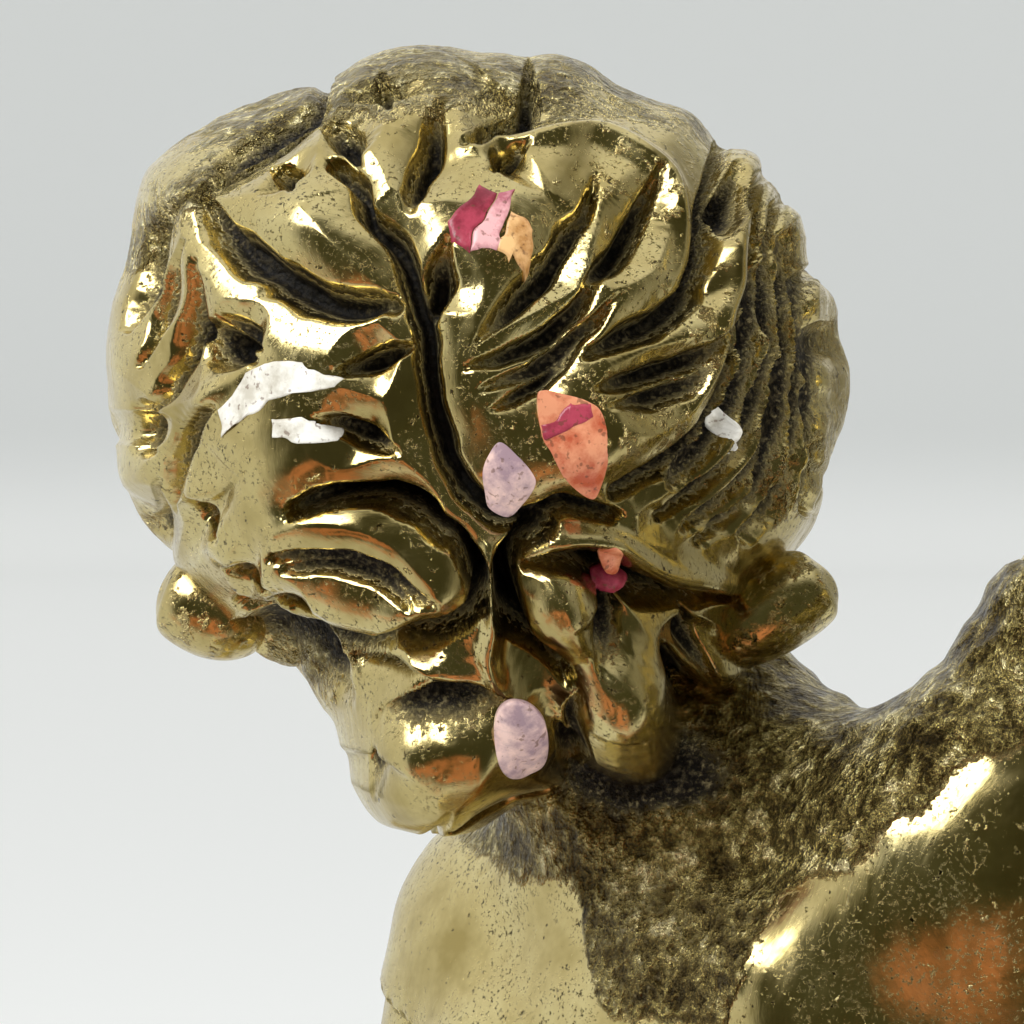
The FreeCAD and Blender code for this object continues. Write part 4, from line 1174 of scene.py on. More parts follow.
@dataclass(frozen=True)
class Bone:
    """A round cone: the space within a radius, tapering from one to the other, of a straight line."""

    start: tuple[float, float, float]
    end: tuple[float, float, float]
    start_radius: float
    end_radius: float

    def distance(self, points: Array) -> Array:
        """Distance from the cone's skin, negative inside.

        The nearest place on the line gives the radius there, which is taken off the distance to the line.

        Args:
            points: places, with a last axis of 3.

        Returns:
            Distances in millimetres.
        """
        a, b = np.array(self.start), np.array(self.end)
        span = b - a
        rel = points - a
        t = np.clip(rel @ span / max(span @ span, 1e-9), 0.0, 1.0)
        gap = np.linalg.norm(rel - t[..., None] * span, axis=-1)
        return gap - (self.start_radius + (self.end_radius - self.start_radius) * t)


@dataclass(frozen=True)
class Egg:
    """An ellipsoid turned about Z."""

    centre: tuple[float, float, float]
    half: tuple[float, float, float]
    yaw: float = 0.0

    def distance(self, points: Array) -> Array:
        """Rough distance from its skin: how far beyond the unit ball, times its least half-size.

        Args:
            points: places, with a last axis of 3.

        Returns:
            Distances in millimetres.
        """
        a = math.radians(self.yaw)
        rel = points - np.array(self.centre)
        x = rel[..., 0] * math.cos(a) + rel[..., 1] * math.sin(a)
        y = rel[..., 1] * math.cos(a) - rel[..., 0] * math.sin(a)
        wide, deep, high = self.half
        scaled = np.sqrt((x / wide) ** 2 + (y / deep) ** 2 + (rel[..., 2] / high) ** 2)
        return (scaled - 1.0) * min(self.half)


def melted(first: Array, second: Array, radius: float) -> Array:
    """Union of two distance fields with a fillet of about the given radius between them."""
    share = np.clip(0.5 + 0.5 * (second - first) / radius, 0.0, 1.0)
    return second + (first - second) * share - radius * share * (1.0 - share)


def melted_field(shapes: list[Bone | Egg], points: Array, radius: float) -> Array:
    """Distance field of several shapes melted together.

    Args:
        shapes: the shapes, in the order that they melt in.
        points: places, with a last axis of 3.
        radius: fillet radius.

    Returns:
        Distances in millimetres, negative inside.
    """
    total = shapes[0].distance(points)
    for shape in shapes[1:]:
        total = melted(total, shape.distance(points), radius)
    return total


@dataclass(frozen=True)
class Joint:
    """A flat joint face between two castings: a place on it and the way that the limb leaves."""

    place: tuple[float, float, float]
    way: tuple[float, float, float]

    def beyond(self, points: Array) -> Array:
        """How far points lie on the limb's side of the face."""
        return (points - np.array(self.place)) @ unit(np.array(self.way))


RIGHT_ARM_JOINT = Joint((10.95, -5.07, 97.34), (0.63, 0.02, 0.776))
LEFT_ARM_JOINT = Joint((-2.6, 4.0, 86.6), (-0.30, 0.10, -0.95))
RAISED_LEG_JOINT = Joint((8.0, 3.7, 47.6), (0.13, 0.34, -0.93))


def hand_bones(wrist: Array, way: Array, palm: Array, side: float, spread: float,
               curl: float) -> list[Bone]:
    """Palm, four fingers and a thumb from a wrist.

    Args:
        wrist: place of the wrist.
        way: way that the hand points.
        palm: way that the palm faces.
        side: +1 or -1, which side the thumb is on.
        spread: turn between fingers in radians.
        curl: how far the finger ends bend towards the palm.

    Returns:
        The bones.
    """
    across = unit(np.cross(way, palm)) * side
    bones = []
    lengths = (3.2, 3.9, 4.2, 3.8)
    for k, length in enumerate(lengths):
        offset = k - 1.5
        root = wrist + way * 0.5 + across * offset * -0.55
        knuckle = wrist + way * 4.4 + across * offset * -1.15
        point = unit(way + across * -offset * spread)
        bones.append(Bone(tuple(root), tuple(knuckle), 1.25, 0.98))
        middle = knuckle + point * length * 0.5 + palm * curl * 0.35
        tip = middle + unit(point + palm * curl) * length * 0.5
        bones.append(Bone(tuple(knuckle), tuple(middle), 0.74, 0.66))
        bones.append(Bone(tuple(middle), tuple(tip), 0.66, 0.52))
    base = wrist + way * 1.2 + across * 1.3
    joint = base + unit(way * 0.75 + across * 0.65 + palm * 0.3) * 2.2
    tip = joint + unit(way * 1.0 + across * 0.35 + palm * 0.2) * 1.7
    bones.append(Bone(tuple(base), tuple(joint), 1.15, 0.75))
    bones.append(Bone(tuple(joint), tuple(tip), 0.72, 0.55))
    return bones


def foot_bones(ankle: Array, heel: Array, way: Array, sole: Array, side: float) -> list[Bone]:
    """Heel, instep and five toes.

    Args:
        ankle: place of the ankle.
        heel: centre of the heel.
        way: way that the foot points.
        sole: way that the sole faces.
        side: +1 or -1, which side the big toe is on.

    Returns:
        The bones.
    """
    across = unit(np.cross(way, sole)) * side
    toes_root = heel + way * 6.2
    bones = [
        Bone(tuple(ankle), tuple(heel), 2.4, 2.2),
        Bone(tuple(ankle + way * 0.8), tuple(toes_root - sole * 0.2), 2.2, 1.5),
        Bone(tuple(heel), tuple(toes_root + across * 0.9 + sole * 0.6), 2.1, 1.5),
        Bone(tuple(heel), tuple(toes_root - across * 0.9 + sole * 0.6), 2.0, 1.4),
    ]
    for k in range(5):
        offset = 1.55 - 0.78 * k
        thick = 0.85 if k == 0 else 0.62 - 0.03 * k
        root = toes_root + across * offset + sole * (1.35 - thick * 0.2)
        length = 2.5 - 0.28 * k
        tip = root + unit(way - across * 0.04 * k) * length
        bones.append(Bone(tuple(root), tuple(tip), thick, thick * 0.92))
    return bones


@dataclass
class Casting:
    """One casting of the figure, meshed from melted round cones.

    Attributes:
        name: object's name.
        node: CAD node that it stands for.
        shapes: bones and eggs of it and of what it melts into.
        own: shapes that say where the casting is, when joints part it from another.
        fillet: fillet radius.
        joints: joint faces, with True where this casting is on the limb's side.
        step: sampling distance.
        low: least height that the casting keeps.
        high: greatest height that the casting keeps.
        joint_reach: how far the casting may reach round the middle of a joint.
        socket_room: room left round the limb where it enters its joint.
        joint_line: width of the hairline between the two joint faces.
    """

    name: str
    node: str
    shapes: list[Bone | Egg]
    fillet: float
    step: float
    joints: list[tuple[Joint, bool, list[Bone]]] = field(default_factory=list)
    own: list[Bone | Egg] = field(default_factory=list)
    low: float | None = None
    high: float | None = None
    joint_reach: float = 3.2
    socket_room: float = 0.25
    joint_line: float = 0.02

    def field_at(self, points: Array) -> Array:
        """The casting's distance field, cut by its joints and height limits.

        Args:
            points: places, with a last axis of 3.

        Returns:
            Distances in millimetres, negative inside.
        """
        total = melted_field(self.shapes, points, self.fillet)
        for joint, is_limb, limb in self.joints:
            near_limb = melted_field(limb, points, self.fillet) - self.socket_room
            region = np.maximum(-joint.beyond(points), near_limb)
            total = np.maximum(total, region if is_limb else -region + self.joint_line)
        if self.low is not None:
            total = np.maximum(total, self.low - points[..., 2])
        if self.high is not None:
            total = np.maximum(total, points[..., 2] - self.high)
        return total

    def bounds(self) -> tuple[Array, Array]:
        """Box round the shapes that say where the casting is.

        Returns:
            Its lowest and highest corner.
        """
        lows, highs = [], []
        for shape in self.own or self.shapes:
            if isinstance(shape, Egg):
                reach = max(shape.half)
                lows.append(np.array(shape.centre) - reach)
                highs.append(np.array(shape.centre) + reach)
                continue
            for end, radius in ((shape.start, shape.start_radius), (shape.end, shape.end_radius)):
                lows.append(np.array(end) - radius)
                highs.append(np.array(end) + radius)
        for joint, is_limb, _ in self.joints:
            if not is_limb:
                lows.append(np.array(joint.place) - self.joint_reach)
                highs.append(np.array(joint.place) + self.joint_reach)
        low, high = np.min(lows, axis=0) - 1.2, np.max(highs, axis=0) + 1.2
        if self.low is not None:
            low[2] = max(low[2], self.low - 1.0)
        if self.high is not None:
            high[2] = min(high[2], self.high + 1.0)
        return low, high

    def build(self, shade_and_skin: Callable[[Array], tuple[Array, Array]] | None = None) -> bpy.types.Object:
        """Meshes the field with a surface net.

        Args:
            shade_and_skin: function of points giving painted shade and patina, and cast skin; None for a
                light skin.

        Returns:
            The new object.
        """
        low, high = self.bounds()
        step = self.step * 1.0
        counts = np.ceil((high - low) / step).astype(int) + 1
        axes = [low[k] + step * np.arange(counts[k]) for k in range(3)]
        values = np.empty(counts)
        for k, x in enumerate(axes[0]):
            y, z = np.meshgrid(axes[1], axes[2], indexing="ij")
            values[k] = self.field_at(np.stack([np.full_like(y, x), y, z], axis=-1))
        points, faces = surface_net(self.name, values, low, step)
        recess = np.zeros(len(points))
        skin = 0.25 * smooth(0.2, 0.8, lumps(points, 2.5, 51))
        if shade_and_skin is not None:
            recess, skin = shade_and_skin(points)
        piece = put_mesh(self.name, points, [faces], {"recess": recess, "cast_skin": skin})
        if shade_and_skin is not None:
            self.roughen(piece.data, points, skin)
        return piece

    def roughen(self, mesh: bpy.types.Mesh, points: Array, skin: Array) -> None:
        """Moves points along their normals: sand lumps under the casting skin, slight waves elsewhere.

        Args:
            mesh: mesh to change.
            points: (n, 3) its places in millimetres.
            skin: (n,) casting skin, from 0 to 1.
        """
        normals = np.empty(len(points) * 3, dtype=np.float32)
        mesh.vertices.foreach_get("normal", normals)
        rise = skin * (0.10 * lumps(points, 0.9, 65) + 0.07 * lumps(points, 0.5, 66))
        rise += 0.16 * lumps(points, 3.5, 67)
        moved = points + normals.reshape(-1, 3) * rise[:, None]
        mesh.vertices.foreach_set("co", (moved * MM).ravel().astype(np.float32))
        mesh.update()


@dataclass
class Figure:
    """Neck, trunk and limbs, as castings that meet at the joints.

    Attributes:
        right_shoulder: centre of the right shoulder.
        left_shoulder: centre of the left shoulder.
        chest: centre of the rib cage.
        sand_line: lower edge of the unpolished casting skin, on the drawing plane.
    """

    right_shoulder: tuple[float, float, float] = (7.1, -5.2, 92.6)
    left_shoulder: tuple[float, float, float] = (-2.6, 4.6, 88.9)
    chest: tuple[float, float, float] = (2.2, -0.2, 84.5)
    sand_line: tuple[tuple[float, float], ...] = (
        (-4.0, -10.4), (-1.5, -10.6), (-0.6, -11.1), (1.05, -11.7), (2.5, -12.3), (3.1, -15.5),
        (6.2, -16.0), (6.9, -13.3), (8.4, -12.0), (10.1, -11.1), (11.3, -10.1), (12.3, -9.2), (13.65, -8.6),
        (17.0, -4.0))

    def trunk_shapes(self) -> list[Bone | Egg]:
        """Neck, chest, shoulder blades and the muscles between them.

        Returns:
            The shapes, in the order that they melt in.
        """
        return [
            Egg(self.chest, (8.3, 6.3, 10.2), -48.0),
            Bone((-2.4, 1.8, 98.2), (1.6, 0.7, 92.4), 3.7, 4.6),
            Bone((1.2, -0.2, 93.6), (6.2, -4.4, 92.9), 2.4, 3.0),
            Bone((0.2, 0.2, 93.2), (-2.0, 3.6, 89.8), 2.8, 2.8),
            Bone((2.8, -5.9, 90.0), (7.6, -6.9, 94.4), 1.5, 1.7),
            Bone((4.0, -6.1, 88.6), (8.8, -6.9, 93.1), 1.7, 1.8),
            Bone((5.4, -5.6, 86.8), (10.2, -6.2, 91.4), 1.7, 2.0),
            Bone((4.2, -5.6, 82.5), (7.6, -5.6, 89.0), 2.8, 2.6),
            Bone((-3.6, -1.6, 84.5), (-3.3, 2.0, 88.0), 2.6, 2.2),
        ]

    def right_arm_bones(self) -> list[Bone]:
        """Raised arm with an open hand.

        Returns:
            The bones, from the shoulder to the hand.
        """
        shoulder = np.array(self.right_shoulder)
        elbow = shoulder + unit([0.63, 0.02, 0.776]) * 14.0
        wrist = elbow + unit([0.36, 0.16, 0.92]) * 12.0
        way, palm = unit([0.22, 0.22, 0.95]), unit([0.25, 0.93, -0.27])
        middle = shoulder + (elbow - shoulder) * 0.45
        forearm = elbow + (wrist - elbow) * 0.35
        return [
            Bone(tuple(shoulder), tuple(middle), 3.6, 3.3), Bone(tuple(middle), tuple(elbow), 3.3, 2.7),
            Bone(tuple(elbow), tuple(forearm), 2.7, 2.7), Bone(tuple(forearm), tuple(wrist), 2.6, 1.7),
            *hand_bones(wrist, way, palm, 1.0, 0.10, 0.25),
        ]

    def left_arm_bones(self) -> list[Bone]:
        """Arm reaching forward, with the palm down.

        Returns:
            The bones, from the shoulder to the hand.
        """
        shoulder = np.array(self.left_shoulder)
        elbow = shoulder + unit([-0.30, 0.10, -0.95]) * 13.0
        wrist = elbow + unit([-0.42, 0.84, 0.34]) * 12.0
        way, palm = unit([-0.32, 0.90, 0.28]), unit([0.10, 0.33, -0.94])
        middle = shoulder + (elbow - shoulder) * 0.45
        forearm = elbow + (wrist - elbow) * 0.35
        return [
            Bone(tuple(shoulder), tuple(middle), 4.0, 3.4),
            Bone((-2.6, 5.7, 89.0), (-3.4, 6.1, 86.0), 4.05, 3.6),
            Bone(tuple(middle), tuple(elbow), 3.3, 2.7), Bone(tuple(elbow), tuple(forearm), 2.7, 2.7),
            Bone(tuple(forearm), tuple(wrist), 2.6, 1.7), *hand_bones(wrist, way, palm, 1.0, 0.10, 0.3),
        ]

    def leg_shapes(self) -> list[Bone]:
        """Standing leg with its foot.

        Returns:
            The bones, from the hip to the toes.
        """
        knee, ankle = np.array([-1.3, 1.6, 41.5]), np.array([-0.6, -2.6, 27.0])
        calf = knee + (ankle - knee) * 0.35 + np.array([0.0, -0.9, 0.0])
        return [
            Bone((-1.5, 0.5, 60.0), tuple(knee), 4.8, 3.5), Bone(tuple(knee), tuple(calf), 3.3, 3.3),
            Bone(tuple(calf), tuple(ankle), 3.2, 2.0),
            *foot_bones(ankle, np.array([-0.5, -3.6, 23.7]), unit([-0.06, 1.0, -0.03]),
                        np.array([0.0, 0.0, -1.0]), 1.0),
        ]

    def raised_leg_shapes(self) -> tuple[list[Bone], list[Bone]]:
        """Thigh root of the raised leg, and the leg from the knee down.

        Returns:
            Shapes of the root, and shapes of the limb.
        """
        hip, knee = np.array([6.2, -1.2, 60.5]), np.array([8.2, 4.2, 45.6])
        ankle = knee + unit([0.05, -0.95, -0.32]) * 15.5
        calf = knee + (ankle - knee) * 0.35 + np.array([0.0, 0.2, -0.8])
        way = unit([0.02, -0.62, -0.78])
        sole = unit([0.0, -0.78, 0.62])
        root = [Bone(tuple(hip), tuple(knee), 4.8, 3.6)]
        limb = [
            Bone(tuple(knee), tuple(calf), 3.4, 3.2), Bone(tuple(calf), tuple(ankle), 3.1, 2.0),
            *foot_bones(ankle, ankle + np.array([0, -0.6, 1.0]), way, sole, -1.0),
        ]
        return root, limb

    def trunk_shade_and_skin(self, points: Array) -> tuple[Array, Array]:
        """Cast skin of the neck; painted shade under the nape hair and in the hollow by the right shoulder;
        polish elsewhere.

        Args:
            points: (n, 3) places.

        Returns:
            Painted shade, with a mottle of patina, and cast skin.
        """
        drawn = Hair().drawing_place(points - HEAD_CENTRE)
        flat = np.column_stack([drawn, np.zeros(len(drawn))])
        edge = drawn[:, 1] + 0.35 * lumps(flat, 1.3, 62) + 0.2 * lumps(flat, 0.5, 63)
        x, z = np.array(self.sand_line).T
        above = smooth(-0.35, 0.45, edge - np.interp(drawn[:, 0], x, z))
        behind = smooth(4.5, 1.5, points[:, 1])
        front = smooth(3.5, 6.5, points[:, 1]) * 0.3
        skin = np.maximum(above * behind * 0.95, front)
        # painted shadow under the nape hair, painted shade in the hollow by the right shoulder, and a light
        # mottle of patina on the cast skin
        rel = (drawn - np.array([4.1, -9.3])) / np.array([2.3, 1.1])
        deep = np.exp(-((rel**2).sum(axis=1) ** 1.5))
        hollow = smooth(-10.5, -12.5, drawn[:, 1]) * smooth(2.2, 3.6, drawn[:, 0])
        shade = 1.0 * deep + above * (0.15 * smooth(0.2, 0.8, lumps(flat, 0.9, 64)) + 0.30 * hollow)
        return shade * behind, np.clip(skin, 0.0, 1.0)

    def build(self) -> list[tuple[bpy.types.Object, str]]:
        """Builds and dresses every casting of the figure below the head.

        Returns:
            Pieces with the CAD nodes that they stand for.
        """
        trunk = self.trunk_shapes()
        right, left = self.right_arm_bones(), self.left_arm_bones()
        root, limb = self.raised_leg_shapes()
        all_top = trunk + right[:2] + left[:2]
        made = []
        castings = [
            (Casting("neck_and_trunk", "body_casting", all_top, 1.6, 0.20, own=trunk, low=79.0,
                     joints=[(RIGHT_ARM_JOINT, False, right), (LEFT_ARM_JOINT, False, left)]),
             self.trunk_shade_and_skin),
            (Casting("right_arm", "right_arm_casting", trunk[4:5] + right, 0.9, 0.17, own=right,
                     joints=[(RIGHT_ARM_JOINT, True, right)]), None),
            (Casting("left_arm", "left_arm_casting", trunk[:1] + left, 0.9, 0.17, own=left,
                     joints=[(LEFT_ARM_JOINT, True, left)]), None),
            (Casting("standing_leg", "body_casting", self.leg_shapes(), 0.5, 0.17, low=21.5, high=54.0),
             None),
            (Casting("raised_thigh", "body_casting", root + limb[:1], 0.9, 0.22, own=root, high=56.0,
                     joints=[(RAISED_LEG_JOINT, False, limb)]), None),
            (Casting("raised_leg", "raised_leg_casting", root + limb, 0.5, 0.17, own=limb,
                     joints=[(RAISED_LEG_JOINT, True, limb)]), None),
        ]
        for casting, shade_and_skin in castings:
            piece = casting.build(shade_and_skin)
            dress(piece, Finish.FIGURE)
            made.append((piece, casting.node))
            LOG.info("%s: %d faces", piece.name, len(piece.data.polygons))
        return made


@dataclass
class Tunic:
    """Short belted tunic, blown back a little, as a closed shell with a hollow hem.

    Attributes:
        levels: sizes of its section at each height, as the first line of the table says.
        folds: folds round the skirt.
        wall: thickness of the cast cloth at the hem.
        belt: height of the waist.
        hem: height where the outer surface starts.
        hollow_rows: rows of the outer surface that the hollow under the hem reaches up.
    """

    levels: tuple[tuple[float, float, float, float, float, float], ...] = (
        # height, centre x, centre y, half-width, half-depth, yaw in degrees
        (46.5, 2.4, -2.6, 12.6, 11.9, -14.0),
        (54.0, 2.4, -1.8, 11.2, 10.2, -17.0),
        (62.5, 2.3, -0.4, 9.4, 8.2, -22.0),
        (69.0, 2.2, 0.0, 7.6, 6.6, -30.0),
        (72.0, 2.2, 0.2, 7.0, 6.1, -34.0),
        (76.0, 2.2, 0.1, 7.8, 6.5, -40.0),
        (83.0, 2.3, -0.1, 8.5, 6.7, -48.0),
    )
    folds: int = 13
    wall: float = 0.8
    belt: float = 72.0
    hem: float = 47.4
    hollow_rows: int = 30

    def outer(self, angle: Array, height: Array) -> Array:
        """Outer surface: an ellipse at each height, with folds that grow below the belt.

        Args:
            angle: radians round the tunic.
            height: heights in millimetres, broadcast against angle.

        Returns:
            Places, with a last axis of 3.
        """
        table = np.array(self.levels)
        cx, cy, wide, deep, yaw = (np.interp(height, table[:, 0], table[:, k]) for k in range(1, 6))
        yaw = np.radians(yaw)
        below = smooth(self.belt, 47.0, height)
        above = smooth(self.belt, 80.0, height)
        drift = angle + 0.5 * below
        fold = np.sin(self.folds * drift + 1.3 * np.sin(3 * drift)) + 0.45 * np.sin(7 * drift + 2.0)
        ripple = 0.95 * below * fold + 0.16 * above * np.sin(17 * angle + 0.8 * np.sin(5 * angle))
        pinch = 0.22 * np.exp(-((height - self.belt) / 2.2) ** 2) * np.sin(26 * angle)
        u = (wide + ripple + pinch) * np.cos(angle)
        v = (deep + ripple + pinch) * np.sin(angle)
        hem = 0.9 * smooth(58.0, 46.5, height) * np.sin(4 * angle + 0.6)
        x = cx + u * np.cos(yaw) - v * np.sin(yaw)
        y = cy + u * np.sin(yaw) + v * np.cos(yaw)
        return np.stack([x, y, height + hem + 0 * angle], axis=-1)

    def neckline(self, angle: Array) -> Array:
        """Height of the top edge: low at the back, higher in front."""
        return 81.6 + 1.5 * np.sin(angle) + 0.25 * np.sin(9 * angle)

    def build(self) -> list[bpy.types.Object]:
        """Builds and dresses the tunic and its sash.

        Returns:
            The new pieces.
        """
        columns = 480
        rows = 170
        angle = np.linspace(0, 2 * math.pi, columns, endpoint=False)[None, :]
        rise = np.linspace(0.0, 1.0, rows)[:, None]
        top = self.neckline(angle)
        height = self.hem + (top - self.hem) * rise
        outer = self.outer(angle, height)
        middle = outer.mean(axis=1, keepdims=True)

        def shrunk(points: Array, by: float) -> Array:
            """Points moved towards the middle line of the tunic."""
            way = unit((points - middle) * np.array([1.0, 1.0, 0.0]))
            return points - way * by

        lip = shrunk(outer, self.wall)
        hollow = lip[:self.hollow_rows][::-1]
        centre = middle[self.hollow_rows - 1:self.hollow_rows]
        roof = centre + (hollow[:1] - centre) * 0.4
        edge_top = shrunk(outer, 0.35)[-1:] + np.array([0, 0, 0.22])
        inside_top = shrunk(outer, 1.6)[-1:] + np.array([0, 0, -0.4])
        edge_low = shrunk(outer, 0.4)[:1] - np.array([0, 0, 0.35])
        rings = np.vstack([roof, hollow, edge_low, outer, edge_top, inside_top])
        depth = np.zeros(rings.shape[:2])
        # painted shade with patina: the valleys between the folds get a recess that the material darkens
        ripple = np.linalg.norm((outer - middle)[..., :2], axis=-1)
        ripple = ripple - (np.roll(ripple, 18, 1) + np.roll(ripple, -18, 1)) / 2
        first = self.hollow_rows + 2
        depth[first:first + rows] = np.clip(smooth(-0.05, -0.75, ripple), 0, 1) * 0.9
        skin = np.full(rings.shape[:2], 0.15)
        skin[:self.hollow_rows + 1] = 0.8
        tunic = tube_object("tunic", rings, {"recess": depth, "cast_skin": skin})
        dress(tunic, Finish.FIGURE)
        return [tunic, self.sash()]

    def sash(self) -> bpy.types.Object:
        """Twisted sash round the waist: a tube whose section turns as it goes round.

        Returns:
            The new object.
        """
        turn = np.linspace(0, 2 * math.pi, 360, endpoint=False)
        line = self.outer(turn[None, :], np.full((1, len(turn)), self.belt))[0]
        line[:, 2] += 0.5 * np.sin(turn + 1.0)
        out = unit((line - line.mean(axis=0)) * np.array([1.0, 1.0, 0.0]))
        line -= out * 0.25
        around = np.linspace(0, 2 * math.pi, 28, endpoint=False)
        twist = around[None, :] + 22.0 * turn[:, None]
        radius = 0.85 * (1.0 + 0.16 * np.cos(3 * twist))
        ring = (line[:, None, :] + out[:, None, :] * (radius * np.cos(around))[..., None]
                + np.array([0, 0, 1.0]) * (radius * np.sin(around))[..., None])
        rows, columns = ring.shape[:2]
        closed = grid_faces(rows, columns, wrap=True)
        first, second = closed[:columns, 0], closed[:columns, 1]
        end = (rows - 1) * columns
        last = np.stack([first + end, second + end, second, first], axis=1)
        # painted shade with patina: the narrow places of the twist get a recess that the material darkens
        recess = np.clip(smooth(0.90, 0.76, radius), 0, 1)
        values = {"recess": recess.ravel(), "cast_skin": np.full(rows * columns, 0.1)}
        faces = np.vstack([closed, last])
        piece = put_mesh("sash", ring.reshape(-1, 3), [faces[:, ::-1]], values)
        return dress(piece, Finish.FIGURE)


# ------------------------------------------------------------------------------------------- residue


# Steps that carry a film's places to the hair, and the step from which its usual height is counted in.
AIM_STEPS = 9
RELIEF_STEP = 5
FIRST_DEPTH = 7.0
RIM_SAMPLES = 8


@dataclass(frozen=True)
class Spot:
    """A dried film on the hair, with its outline drawn on the drawing plane round its middle.

    Attributes:
        name: object's name.
        finish: what it dried from.
        outline: corners in millimetres, anticlockwise.
        thickness: height of its middle.
        is_drop: whether it dried as a rounded drop; otherwise it is a flake with straight, torn sides.
    """

    name: str
    finish: Finish
    outline: tuple[tuple[float, float], ...]
    thickness: float = 0.06
    is_drop: bool = False

    def rim(self) -> Array:
        """Rim of the film: rounded through the corners for a drop, straight and slightly torn for a flake.

        Returns:
            (n, 2) places on the drawing plane.
        """
        corners = np.array(self.outline)
        if self.is_drop:
            closed = np.vstack([corners[-2:], corners, corners[:3]])
            rounded = rounded_path(closed, RIM_SAMPLES)
            return rounded[2 * RIM_SAMPLES:(2 + len(corners)) * RIM_SAMPLES]
        t = np.linspace(0, 1, RIM_SAMPLES, endpoint=False)[None, :, None]
        run = (corners[:, None, :] * (1 - t) + np.roll(corners, -1, 0)[:, None, :] * t).reshape(-1, 2)
        flat = np.column_stack([run, np.full(len(run), self.thickness * 40)])
        return run + 0.10 * np.column_stack([lumps(flat, 0.3, 71), lumps(flat, 0.3, 72)])

    def build(self, hair: Hair) -> bpy.types.Object:
        """Lays the film on the hair.

        Rings run from the rim to the middle on the drawing plane, and each place is carried to the hair by
        stepping its direction until it is seen at that place.

        Args:
            hair: surface that it lies on.

        Returns:
            The new object.
        """
        rim = self.rim()
        middle = rim.mean(axis=0)
        share = np.concatenate([[1.0, 0.97, 0.92], np.linspace(0.84, 0.04, 11)])
        place = (middle + share[:, None, None] * (rim - middle)).reshape(-1, 2)
        way = self.directions(hair, place)
        shape = (len(share), len(rim))
        radius = hair.radius(way)[0].reshape(shape)
        if self.is_drop:
            radius = np.maximum(radius, radius.max() - 0.35)
        for _ in range(3):
            radius = (radius + np.roll(radius, 1, 1) + np.roll(radius, -1, 1)) / 3.0
        way = way.reshape(*shape, 3)
        power = 2.5 if self.is_drop else 10.0
        rise = self.thickness * (1.0 - share[:, None] ** power) + 0.01
        top = HEAD_CENTRE + way * (radius + rise)[..., None]
        under = HEAD_CENTRE + way * (radius - 0.15)[..., None]
        piece = tube_object(self.name, np.vstack([under[::-1], top]))
        return dress(piece, self.finish)

    def directions(self, hair: Hair, place: Array) -> Array:
        """Directions from the head's centre that are seen at places on the drawing plane.

        Each step puts the points on the head and moves them by how far off they are seen. The later steps
        raise the head by the middle height of the relief under the film.

        Args:
            hair: surface that the film lies on.
            place: (n, 2) places on the drawing plane.

        Returns:
            (n, 3) unit directions.
        """
        point = np.column_stack([place[:, 0], np.full(len(place), -FIRST_DEPTH), place[:, 1]])
        rise = 0.0
        for step in range(AIM_STEPS):
            way = unit(point)
            bare = hair.bare_radius(way)
            if step == RELIEF_STEP:
                rise = max(0.0, float(np.median(hair.radius(way)[0] - bare)))
            point = way * (bare + rise)[:, None]
            miss = place - hair.drawing_place(point)
            point[:, [0, 2]] += miss
        return unit(point)


